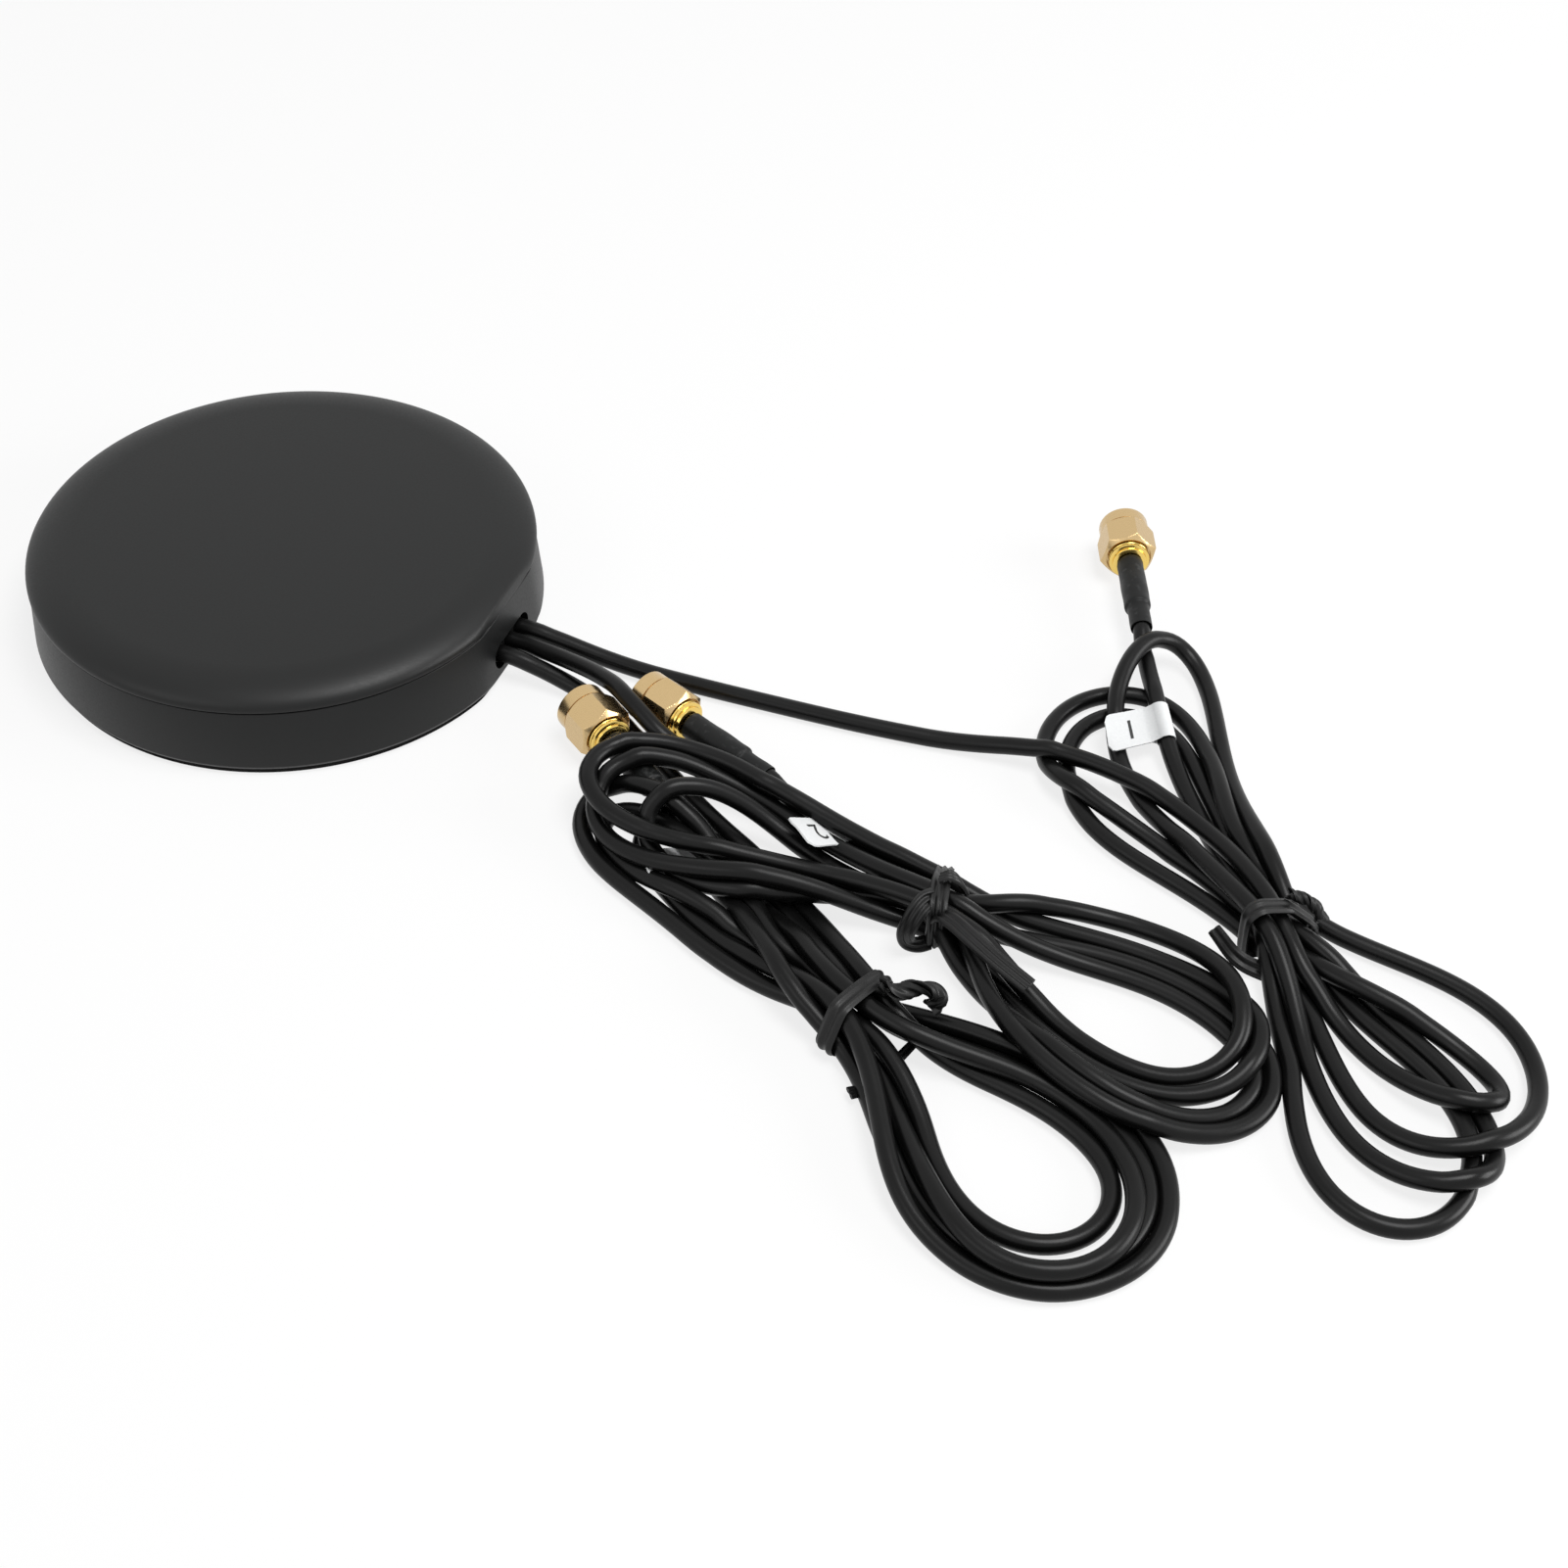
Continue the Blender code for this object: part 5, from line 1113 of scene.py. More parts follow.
def make_cover(looks, material):
    """The radome: draft wall, crisp rim over a fine line, rolled-off top and hollow inside."""
    foot_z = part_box("radome_cover")[0][2]
    rim, lip = looks.rim_radius, 0.3 * MM
    roll = (rim + lip - looks.flat_radius, looks.height - looks.rim_height)
    profile = [(0.0, looks.height), (0.5 * looks.flat_radius, looks.height)]
    profile += ellipse_arc((looks.flat_radius, looks.rim_height), roll, 90, 3, 20)
    line = looks.rim_height - 0.3 * MM
    foot = looks.radius - (looks.radius - rim) / looks.rim_height * foot_z
    below = [
        (rim + lip, looks.rim_height), (rim + lip, line), (rim - lip, line - 0.05 * MM),
        (rim - lip, line - 0.35 * MM), (rim + 0.05 * MM, line - 0.45 * MM),
        (foot, foot_z + 0.6 * MM), (foot - 0.3 * MM, foot_z), (LOWER_WALL, foot_z),
    ]
    profile += [tuple(p) for p in broken_corners(below, 0.12 * MM)]
    ceiling = looks.height - 2.0 * MM
    profile += [(LOWER_WALL, SHELF_Z), (UPPER_WALL, SHELF_Z), (UPPER_WALL, CURVE_Z)]
    profile += ellipse_arc(CURVE_MIDDLE, (CURVE_WIDTH, ceiling - CURVE_MIDDLE[1]), 30, 90, 6)
    profile += [(0.0, ceiling)]

    def flat_at(z):
        return looks.flat_at_base + (looks.flat_at_rim - looks.flat_at_base) * z / looks.rim_height

    bm = bmesh.new()
    edge_angle = math.acos(looks.flat_at_rim / looks.rim_radius)
    flat_sided(bm, profile, flat_at, wall_angles(looks.steps, edge_angle), looks.edge)
    cover = finish_mesh(bm, "cover_shell", material, 40)
    cutter = bmesh.new()
    slot_prism(cutter, **MOUTH)
    cut_away(cover, finish_mesh(cutter, "cover_slot"))
    cover.data.shade_smooth()
    cover.data.set_sharp_from_angle(angle=math.radians(32))
    declare(cover, "moulded_abs", "radome_cover")


def slot_prism(bm, width, height, x_low, x_high, z, edge=0.0):
    """A bar along X with half-round sides, its front edge rounded by edge."""
    outline = []
    for side in (1, -1):
        centre, radius = side * (width - height) / 2, side * height / 2
        for angle in np.radians(np.linspace(-90, 90, 17)):
            outline.append((centre + radius * math.cos(angle), radius * math.sin(angle)))
    outline = np.array(outline)
    levels = [(x_low, 0.0)]
    for t in np.linspace(0, 90, 5 if edge else 1):
        back = edge * (1 - math.sin(math.radians(t))) if edge else 0.0
        levels.append((x_high - back, edge * (1 - math.cos(math.radians(t)))))
    rows = []
    for x, inset in levels:
        scale = 1 - 2 * inset / np.array([width, height])
        rows.append([bm.verts.new((x, y * scale[0], z + h * scale[1])) for y, h in outline])
    grid_faces(bm, rows)
    bm.faces.new(rows[0])
    bm.faces.new(rows[-1])


def make_grommet(looks, material):
    """The rubber seal in the slot, with a raised lip round each lead."""
    bm = bmesh.new()
    back = SEAL_FRONT - SEAL_DEPTH
    slot_prism(bm, SEAL_WIDTH, SEAL_HEIGHT, back, SEAL_FRONT, looks.exit_height, 0.3 * MM)
    block = finish_mesh(bm, "lead_seal", material)
    hole, reach = looks.diameter / 2 + 0.05 * MM, 0.003
    middle = SEAL_FRONT - SEAL_DEPTH / 2
    for number in (-1, 0, 1):
        place = Matrix.Translation((middle, number * looks.pitch, looks.exit_height))
        cutter = bmesh.new()
        lathe(cutter, [(0.0, -reach), (hole, -reach), (hole, reach), (0.0, reach)], HOLE_STEPS)
        cut_away(block, finish_mesh(cutter, f"seal_hole_{number + 1}", place=place))
    bm = bmesh.new()
    bm.from_mesh(block.data)
    foot, crest = -0.0004, 0.00035
    lip = [(hole, foot), (hole, crest), (hole + 0.18 * MM, crest), (hole + 0.3 * MM, foot)]
    for number in (-1, 0, 1):
        ring = bmesh.new()
        lathe(ring, broken_corners(lip, 0.1 * MM), HOLE_STEPS, closed=True)
        place = Matrix.Translation((SEAL_FRONT, number * looks.pitch, looks.exit_height))
        bmesh.ops.transform(ring, matrix=place, verts=ring.verts)
        part = bpy.data.meshes.new("lip")
        ring.to_mesh(part)
        ring.free()
        bm.from_mesh(part)
        bpy.data.meshes.remove(part)
    bpy.data.objects.remove(block)
    declare(finish_mesh(bm, "lead_seal", material), "grommet_rubber", "lead_grommet")


def make_pad(looks, material):
    """The foam pad, its die-cut edge drawn in a little at mid height."""
    radius, flat = looks.radius - PAD_INSET, looks.flat_at_base - PAD_INSET
    face = radius - 0.05 * MM
    profile = [(0.0, 0.0), (face, 0.0)]
    for t in np.linspace(0.1, 0.9, 5):
        profile.append((radius - 0.06 * MM * math.sin(math.pi * t), t * PAD_TOP))
    profile += [(face, PAD_TOP), (0.0, PAD_TOP)]
    bm = bmesh.new()
    angles = wall_angles(looks.steps, math.acos(flat / radius))
    flat_sided(bm, profile, lambda z: flat, angles, looks.edge)
    declare(finish_mesh(bm, "mounting_pad", material), "foam_pad", "adhesive_pad")


# ---------------------------------------------------------------- leads and sleeves


def make_lead(lead, line, looks, material):
    """One lead as a single open curve from the board in the puck to its plug."""
    points, _ = curve_through(line, looks.fine_step)
    data = bpy.data.curves.new(f"{lead}_coax", "CURVE")
    data.dimensions = "3D"
    data.bevel_depth = looks.diameter / 2
    data.bevel_resolution = 6
    data.use_fill_caps = True
    spline = data.splines.new("POLY")
    spline.points.add(len(points) - 1)
    spline.points.foreach_set("co", np.column_stack([points, np.ones(len(points))]).ravel())
    spline.use_smooth = True
    data.materials.append(material)
    coax = bpy.data.objects.new(f"{lead}_coax", data)
    bpy.context.scene.collection.objects.link(coax)
    LINES[lead] = points
    declare(coax, "cable_pvc", f"{lead}_lead", f"{lead}_hank", f"{lead}_tail")


def make_sleeve(lead, material):
    """Heat-shrink over the crimp, faintly rippled, with a step down onto the lead."""
    turns = LEADS.index(lead) * 1.7

    def wobble(x, angle):
        slow = 0.010 * math.sin(2 * angle + turns + x / (1.9 * MM))
        return 1 + slow + 0.006 * math.sin(3 * angle - turns + x / (0.7 * MM))

    # Radius and place along the plug of each point, in mm
    ends = [(1.70, -5.70), (2.10, -5.70)]
    outer = [(2.10 - 0.05 * math.sin(i * 0.9), -5.70 - i * 1.3) for i in range(1, 8)]
    step = [(2.12, -16.1), (2.06, -16.5), (1.78, -16.75), (1.72, -17.2)]
    tail = [(1.70, -18.5), (1.73, -20.2), (1.70, -21.5), (1.55, -21.5), (1.55, -17.1), (1.70, -9.9)]
    profile = [(r * MM, x * MM) for r, x in ends + outer + step + tail]
    softer = broken_corners(profile + profile[:1], 0.25 * MM)[:-1]
    bm = bmesh.new()
    lathe(bm, dense_profile(softer, 0.35 * MM), 64, closed=True, wobble=wobble)
    sleeve = finish_mesh(bm, f"{lead}_sleeve", material, 60, plug_place(lead))
    return declare(sleeve, "heat_shrink", f"{lead}_heat_shrink")


def dense_profile(profile, step):
    """The profile with points added, so that none are more than step apart."""
    out = []
    for a, b in zip(profile, profile[1:]):
        a, b = np.array(a), np.array(b)
        count = max(1, int(np.linalg.norm(b - a) / step))
        out += [a + (b - a) * t for t in np.linspace(0, 1, count, endpoint=False)]
    return out + [np.array(profile[-1])]


# ---------------------------------------------------------------- plugs


# The thread inside a nut, from and to, as places along the plug
THREAD_START, THREAD_END = 1.5 * MM, 3.55 * MM


def hex_reach(apothem, angles):
    """Distance from the axis to the side of a hexagon."""
    turned = (angles + math.pi / 6) % (math.pi / 3) - math.pi / 6
    return apothem / np.cos(turned)


def make_nut(lead, looks, material):
    """The coupling nut: chamfered hexagon, round collar, snap-ring groove and inside thread."""
    half, collar = looks.half_length, looks.half_length - looks.collar_length
    corner = looks.flats / math.sqrt(3)
    angles = 2 * math.pi * np.arange(looks.steps * 2) / (looks.steps * 2)
    hexagon = hex_reach(looks.flats / 2, angles)
    rear_cut, front_cut = 0.75 * MM, 0.60 * MM
    collar_edge = broken_corners(
        [(looks.thread_radius, half - 0.25 * MM), (looks.thread_radius + 0.25 * MM, half),
         (looks.collar_radius, half), (looks.collar_radius, collar + 0.15 * MM)], 0.3 * MM)
    levels = [(r, x, False) for r, x in collar_edge]
    levels += [(looks.collar_radius - 0.12 * MM, collar + 0.10 * MM, False)]
    levels += [(looks.collar_radius - 0.12 * MM, collar + 0.01 * MM, False)]
    widening = corner - looks.collar_radius
    for t in np.linspace(0, 1, 9):
        levels.append((looks.collar_radius + widening * t, collar - front_cut * t, True))
    beyond = 0.2 * MM
    levels.append((corner + beyond, collar - front_cut - beyond, True))
    levels.append((corner + beyond, -half + rear_cut + beyond, True))
    for t in np.linspace(1, 0, 9):
        levels.append((corner - 0.95 * MM * (1 - t), -half + rear_cut * t, True))
    # Radius and place along the plug, in mm: mouth, groove of the ring, and end of the thread
    bore = [
        (3.60, -half / MM), (3.60, -3.2), (2.75, -3.2), (2.75, -2.5), (3.15, -2.5), (3.15, -1.5),
        (2.75, -1.5), (2.75, -0.6), (looks.thread_radius / MM, -0.6),
    ]
    levels += [(r * MM, x * MM, False) for r, x in bore]
    bm = bmesh.new()
    rows = []
    for radius, x, hexed in levels:
        reach = softened(hexagon, radius, 0.05 * MM) if hexed else np.full(len(angles), radius)
        ring = [(x, r * math.cos(a), r * math.sin(a)) for r, a in zip(reach, angles)]
        rows.append([bm.verts.new(p) for p in ring])
    grid_faces(bm, rows, wrap_rows=True)
    add_thread(bm, looks, THREAD_START, THREAD_END, material)
    nut = finish_mesh(bm, f"{lead}_nut", material, 22, plug_place(lead, PLUGS[lead]["spin"]))
    return declare(nut, "gold_plate", f"{lead}_coupling_nut", body=f"{lead}_nut")


def add_thread(bm, looks, start, end, material):
    """Adds the thread on the wall of the nut's bore to the nut's mesh."""
    values = {
        "Radius": looks.thread_radius + 0.01 * MM, "Depth": 0.26 * MM,
        "Base": 0.9 * MM, "Crest": 0.12 * MM,
        "Turns": (end - start) / looks.thread_pitch, "Length": end - start,
        "Start": start, "Material": material,
    }
    bm.from_mesh(grown(bpy.data.meshes.new("thread"), thread_tree(), values))


# The turned pieces of a plug: finish, and radius and place along the plug of each point, in mm
PLUG_CORE = {
    "plug_body": ("gold_plate", [
        (2.00, 1.3), (2.40, 1.3), (2.40, 0.4), (2.90, 0.4), (2.90, -0.3), (2.40, -0.3),
        (2.40, -1.5), (2.00, -1.5), (2.00, -2.5), (2.40, -2.5), (2.40, -3.5), (3.25, -3.5),
        (3.25, -4.15), (3.12, -4.25), (3.25, -4.35), (3.25, -4.9), (2.75, -4.9), (2.75, -5.4),
        (1.40, -5.4), (1.40, -9.6), (0.75, -9.6), (0.75, -3.0), (1.60, -3.0), (1.60, -0.3),
        (2.00, -0.3),
    ]),
    "insulator": ("white_ptfe", [(0.75, 1.0), (1.30, 1.0), (1.30, -2.7), (0.75, -2.7)]),
    "centre_pin": ("gold_plate", [
        (0.0, 3.0), (0.20, 3.0), (0.45, 2.55), (0.45, -9.6), (0.0, -9.6),
    ]),
    "sealing_washer": ("red_silicone", [(2.70, 1.3), (3.0, 1.3), (3.0, 0.7), (2.70, 0.7)]),
}


def make_core(lead, looks, materials):
    """The turned body with its bright rings, the insulator, the pin and the washer."""
    made = []
    for part, (slot, points) in PLUG_CORE.items():
        points = [(r * MM, x * MM) for r, x in points]
        closed = points[0][0] > 0
        profile = points + points[:1] if closed else points
        profile = broken_corners(profile, 0.08 * MM, 2)
        bm = bmesh.new()
        lathe(bm, profile[:-1] if closed else profile, looks.steps, closed=closed)
        obj = finish_mesh(bm, f"{lead}_{part}_turned", materials[part], 30, plug_place(lead))
        made.append(declare(obj, slot, f"{lead}_{part}"))
    return made


# ---------------------------------------------------------------- ties

# A tie's ring starts at this angle from the side of the bundle and laps itself underneath, and its
# line lies no lower than this
RING_START, RING_SWEEP, RING_POINTS = 250.0, 372.0, 94
RING_LOWEST = 0.45 * MM
# Half the width in which the strands of a bundle pass the tie
BUNDLE_REACH = 7 * MM
# Each tie: the ring's lean, how loosely it lies, and ribs. A knot is a twisted pair through its
# points, with its turns and how full it is at both ends. A loose strip has its points, fullness and
# facing.
TIE_SHAPES = {
    "gps": {
        "lean": -6.0, "loose": 0.0004, "ribs": 2,
        "knot": [(0.1622, -0.0129, 0.0087), (0.1645, -0.0129, 0.0084), (0.1660, -0.0129, 0.0076),
                 (0.1674, -0.0133, 0.0060)],
        "knot_fullness": (0.55, 0.65), "turns": 1.4,
        "strips": [
            ([(0.1632, -0.0214, 0.0013), (0.1615, -0.0214, 0.0013), (0.1590, -0.0212, 0.0016),
              (0.1570, -0.0206, 0.0023), (0.1551, -0.0200, 0.0038), (0.1538, -0.0197, 0.0050)],
             (1.0, 0.7), (0.1, -0.7, 0.7)),
        ],
    },
    "main": {
        "lean": 24.0, "loose": 0.0001, "ribs": 3, "knot": [],
        "strips": [
            ([(0.1163, -0.0312, 0.0080), (0.1160, -0.0325, 0.0086), (0.1155, -0.0341, 0.0083),
              (0.1149, -0.0354, 0.0068), (0.1145, -0.0359, 0.0048), (0.1148, -0.0355, 0.0028),
              (0.1160, -0.0342, 0.0014), (0.1172, -0.0328, 0.0010)], (1.0, 0.9), (0.1, -0.85, 0.5)),
            ([(0.1180, -0.0327, 0.0060), (0.1190, -0.0335, 0.0077), (0.1210, -0.0348, 0.0083),
              (0.1235, -0.0362, 0.0082), (0.1281, -0.0385, 0.0076), (0.1332, -0.0406, 0.0068)],
             (0.95, 0.95), (0.0, -0.1, 1.0)),
            ([(0.1165, -0.0275, 0.0084), (0.1178, -0.0271, 0.0090), (0.1190, -0.0266, 0.0078),
              (0.1197, -0.0260, 0.0056)], (0.8, 0.9), (0.3, 0.3, 0.9)),
        ],
    },
    "aux": {
        "lean": 3.0, "loose": 0.0001, "ribs": 2,
        "knot": [(0.1148, -0.0487, 0.0082), (0.1172, -0.0488, 0.0080), (0.1196, -0.0477, 0.0083),
                 (0.1214, -0.0468, 0.0078), (0.1225, -0.0468, 0.0064), (0.1219, -0.0475, 0.0052)],
        "knot_fullness": (0.8, 0.95), "turns": 1.1,
        "strips": [
            ([(0.1208, -0.0514, 0.0015), (0.1199, -0.0536, 0.0011), (0.1185, -0.0575, 0.0009),
              (0.1171, -0.0605, 0.0010), (0.1156, -0.0622, 0.0014)], (0.5, 0.7), (0.0, -0.2, 1.0)),
        ],
    },
}


def strands_in_tie(lead):
    """Places across and up of each strand where it passes the tie."""
    ahead, side = heading_axes(TIES[lead]["heading"])
    middle = np.array([*TIES[lead]["at"], 0.0])
    local = LINES[lead] - middle
    along, across = local @ ahead, local @ side
    passing = (along[:-1] * along[1:] <= 0) & (np.abs(across[:-1]) < BUNDLE_REACH)
    crossed = np.flatnonzero(passing)
    t = along[crossed] / (along[crossed] - along[crossed + 1] + 1e-12)
    height = local[crossed, 2] * (1 - t) + local[crossed + 1, 2] * t
    return np.column_stack([across[crossed] * (1 - t) + across[crossed + 1] * t, height])


def strip_line(path, facing, full):
    """A strip's line, the way it faces at each point, square to the line, and its fullness."""
    path, facing, full = np.array(path, float), np.array(facing, float), np.array(full, float)
    keep = np.concatenate([[True], np.linalg.norm(np.diff(path, axis=0), axis=1) > 0.05 * MM])
    path, facing, full = path[keep], facing[keep], full[keep]
    tangents = unit(np.gradient(path, axis=0))
    across = unit(np.cross(tangents, facing))
    for k in range(1, len(across)):
        if across[k] @ across[k - 1] < 0:
            across[k] *= -1
    for _ in range(3):
        across[1:-1] = unit(across[:-2] + 2 * across[1:-1] + across[2:])
        full[1:-1] = (full[:-2] + full[1:-1] + full[2:]) / 3
    return path, unit(np.cross(across, tangents)), full


def line_mesh(lines):
    """A mesh of plain lines that carries the facing and fullness of each point."""
    mesh = bpy.data.meshes.new("tie_lines")
    points = np.vstack([path for path, _, _ in lines])
    firsts = np.cumsum([0] + [len(path) for path, _, _ in lines])
    edges = [(i, i + 1) for a, b in zip(firsts, firsts[1:]) for i in range(a, b - 1)]
    mesh.from_pydata(points.tolist(), edges, [])
    facing = mesh.attributes.new("facing", "FLOAT_VECTOR", "POINT")
    facing.data.foreach_set("vector", np.vstack([ways for _, ways, _ in lines]).ravel())
    full = mesh.attributes.new("full", "FLOAT", "POINT")
    full.data.foreach_set("value", np.concatenate([sizes for _, _, sizes in lines]))
    return mesh


def tie_ring(lead, shape, looks, radius):
    """The ring's line round the bundle, its lap hidden underneath, with its outward directions."""
    ahead, _ = heading_axes(TIES[lead]["heading"])
    _, side = heading_axes(TIES[lead]["heading"] + shape["lean"])
    up = np.array([0.0, 0.0, 1.0])
    middle = np.array([*TIES[lead]["at"], 0.0])
    strands = strands_in_tie(lead)
    clear = radius + looks.thickness / 2 + looks.rib + shape["loose"]
    turns = np.radians(np.linspace(RING_START, RING_START + RING_SWEEP, RING_POINTS))
    points, normals = [], []
    for t, angle in zip(np.linspace(-0.5, 0.5, len(turns)), turns):
        way = np.array([math.cos(angle), math.sin(angle)])
        place = strands[np.argmax(strands @ way)] + way * clear
        height = max(place[1], RING_LOWEST)
        points.append(middle + place[0] * side + height * up + t * 0.3 * looks.width * ahead)
        normals.append(way[0] * side + way[1] * up)
    points = np.array(points)
    for _ in range(8):
        points[1:-1] = (points[:-2] + 2 * points[1:-1] + points[2:]) / 4
    points[:, 2] = np.maximum(points[:, 2], RING_LOWEST)
    return points, np.array(normals)


def twisted_pair(points, turns, radius):
    """The two strands of a twisted pair along a line, each with its outward directions."""
    line, _ = curve_through([np.array(p) for p in points], 0.15 * MM)
    ahead = unit(np.gradient(line, axis=0))
    first = unit(np.cross(ahead, [0.1, 0.2, 1.0]))
    second = np.cross(ahead, first)
    strands = []
    for phase in (0.0, math.pi):
        angle = (phase + 2 * math.pi * turns * np.linspace(0, 1, len(line)))[:, None]
        ways = np.cos(angle) * first + np.sin(angle) * second
        strands.append((line + radius * ways, ways))
    return strands


def make_tie(lead, looks, diameter, material):
    """The ribbed tie: ring, twisted knot and loose strips, each grown along its line."""
    shape = TIE_SHAPES[lead]
    ring, outward = tie_ring(lead, shape, looks, diameter / 2)
    lines = [strip_line(ring, outward, [1.0] * len(ring))]
    if shape["knot"]:
        for strand, ways in twisted_pair(shape["knot"], shape["turns"], 0.5 * MM):
            full = np.linspace(*shape["knot_fullness"], len(strand))
            lines.append(strip_line(strand, ways, full))
    for points, (first, last), facing in shape["strips"]:
        line, _ = curve_through(points, 0.4 * MM)
        lines.append(strip_line(line, [facing] * len(line), np.linspace(first, last, len(line))))
    values = {"Width": looks.width, "Thickness": looks.thickness, "Rib": looks.rib,
              "Ribs": shape["ribs"], "Material": material}
    bm = bmesh.new()
    bm.from_mesh(grown(line_mesh(lines), tie_tree(), values))
    tie = finish_mesh(bm, f"{lead}_ribbed_tie", material, 50)
    return declare(tie, "tie_pvc", f"{lead}_twist_tie")


# ---------------------------------------------------------------- flags

# Where each flag is folded over its lead, as a real place, the heading of its free end, its rise,
# how far it slants away from the plug, and the slope at which it bends back down
FLAG_PLACES = {
    "gps": {"at": (0.1392, 0.0205), "heading": 218.0, "rise": 4.0, "slant": 0.25, "droop": 0.0},
    "main": {"at": (0.0985, -0.0200), "heading": 228.0, "rise": 60.0, "slant": 0.0, "droop": 0.5},
    "aux": {"at": (0.0815, -0.0315), "heading": 295.0, "rise": 0.0, "slant": 0.0, "droop": 0.0},
}
# How many points a lead's last stretch has, and how many to each side give its direction
TAIL_POINTS, TAIL_REACH = 110, 3
# Distances from the lead's middle: its surface, where a leaf starts to slant and to droop, and how
# soft the droop starts
LEAD_RADIUS = 1.35 * MM
SLANT_FROM, DROOP_FROM, DROOP_EASE = 1.5 * MM, 2.9 * MM, 0.6 * MM
FLAG_COLUMNS = 15


def on_tail(lead, place):
    """The point of a lead's last stretch that is nearest to a place, and its direction."""
    line = LINES[lead][-TAIL_POINTS:]
    k = int(np.argmin(np.linalg.norm(line[:, :2] - np.array(place), axis=1)))
    k = min(max(k, TAIL_REACH), len(line) - TAIL_REACH - 1)
    return line[k], unit(line[k + TAIL_REACH] - line[k - TAIL_REACH])


def flag_section(looks, radius):
    """Half-thickness line of the folded label across the lead: out along one leaf and back."""
    half = looks.thickness * 0.55
    ring = radius + looks.thickness * 0.6
    reach = np.linspace(ring + looks.length, ring + 0.9 * MM, 14)
    upper = [(x, half) for x in reach]
    turn = [(ring * math.cos(a), ring * math.sin(a)) for a in np.radians(np.linspace(28, 332, 40))]
    lower = [(x, -half) for x in reach[::-1]]
    return np.array(upper + turn + lower)


def leaf_height(spec, far, v, free_end):
    """How far a leaf bends up, far from the lead and at v across it, from -1 to 1."""
    wave = 0.35 * MM * math.sin(1.3 * v + 0.4) * max(0.0, far / free_end) ** 2
    past = far - DROOP_FROM
    return wave - spec["droop"] * (past + math.hypot(past, DROOP_EASE)) / 2


def make_flag(lead, looks, diameter, paper, ink):
    """A label folded over the lead with its two leaves stuck together, and a plain number on it."""
    spec = FLAG_PLACES[lead]
    centre, along = on_tail(lead, spec["at"])
    slide = -spec["slant"] * along
    away, _ = heading_axes(spec["heading"])
    rise = math.radians(spec["rise"])
    away = away * math.cos(rise) + np.array([0, 0, math.sin(rise)])
    away = unit(away - (away @ along) * along)
    up = unit(np.cross(along, away))
    if up[2] < 0:
        up, along = -up, -along
    section = flag_section(looks, diameter / 2)
    free_end = section[0][0]
    normals = unit(np.column_stack([np.gradient(section[:, 1]), -np.gradient(section[:, 0])]))
    bm = bmesh.new()
    layers = []
    for side in (0.5, -0.5):
        rows = []
        for (x, h), n in zip(section, normals):
            from_end = free_end - x
            inset = 0.0
            if from_end < looks.corner:
                square = looks.corner**2 - (looks.corner - from_end) ** 2
                inset = looks.corner - math.sqrt(max(0.0, square))
            row = []
            for v in np.linspace(-1, 1, FLAG_COLUMNS):
                bend = leaf_height(spec, x, v, free_end)
                flat = (x + n[0] * side * looks.thickness) * away
                high = (h + n[1] * side * looks.thickness + bend) * up
                place = centre + flat + high + v * (looks.width / 2 - inset) * along
                row.append(bm.verts.new(place + max(0.0, x - SLANT_FROM) * slide))
            rows.append(row)
        grid_faces(bm, rows, wrap_columns=False)
        layers.append(rows)
    front, back = layers
    for i in range(len(front) - 1):
        for j in (0, -1):
            bm.faces.new((front[i][j], front[i + 1][j], back[i + 1][j], back[i][j]))
    for i in (0, -1):
        for j in range(FLAG_COLUMNS - 1):
            bm.faces.new((front[i][j], front[i][j + 1], back[i][j + 1], back[i][j]))
    flag = finish_mesh(bm, f"{lead}_label", paper, 50)
    declare(flag, "flag_paper", f"{lead}_flag")
    return [flag, make_number(lead, looks, (centre, away, along, up, slide), ink)]


def make_number(lead, looks, place, ink):
    """The flag's plain number, a film of ink just above the paper."""
    centre, away, along, up, slide = place
    text = bpy.data.curves.new("number", "FONT")
    text.body = looks.numbers[LEADS.index(lead)]
    text.size = looks.digit / 0.7
    text.align_x, text.align_y = "CENTER", "CENTER"
    text.extrude = 0.01 * MM
    holder = bpy.data.objects.new("number", text)
    mesh = bpy.data.meshes.new_from_object(holder)
    bpy.data.objects.remove(holder)
    bpy.data.curves.remove(text)
    free_end = LEAD_RADIUS + looks.length
    middle = free_end * 0.58
    lift = looks.thickness * 1.15 + 0.02 * MM
    points = np.array([v.co for v in mesh.vertices])
    for vert, (x, y, z) in zip(mesh.vertices, points):
        far = middle + x
        high = lift + z + leaf_height(FLAG_PLACES[lead], far, -y / (looks.width / 2), free_end)
        slant = max(0.0, far - SLANT_FROM) * slide
        vert.co = centre + far * away - y * along + high * up + slant
    mesh.materials.clear()
    mesh.materials.append(ink)
    mesh.name = f"{lead}_number"
    number = bpy.data.objects.new(f"{lead}_number", mesh)
    bpy.context.scene.collection.objects.link(number)
    bm = bmesh.new()
    bm.from_mesh(mesh)
    bmesh.ops.recalc_face_normals(bm, faces=bm.faces)
    bm.to_mesh(mesh)
    bm.free()
    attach(number, "root")
    return number


# ---------------------------------------------------------------- stage

# Each softbox: place, width and height, and watts
SOFTBOXES = {
    "overhead_softbox": ((0.34, -0.02, 0.86), (0.45, 0.40), 5.2),
    "side_softbox": ((0.90, 0.20, 0.30), (0.5, 0.4), 4.4),
    "front_softbox": ((-0.35, -0.70, 0.60), (0.6, 0.4), 1.0),
}
STAGE_MIDDLE = (0.09, -0.01, 0.0)
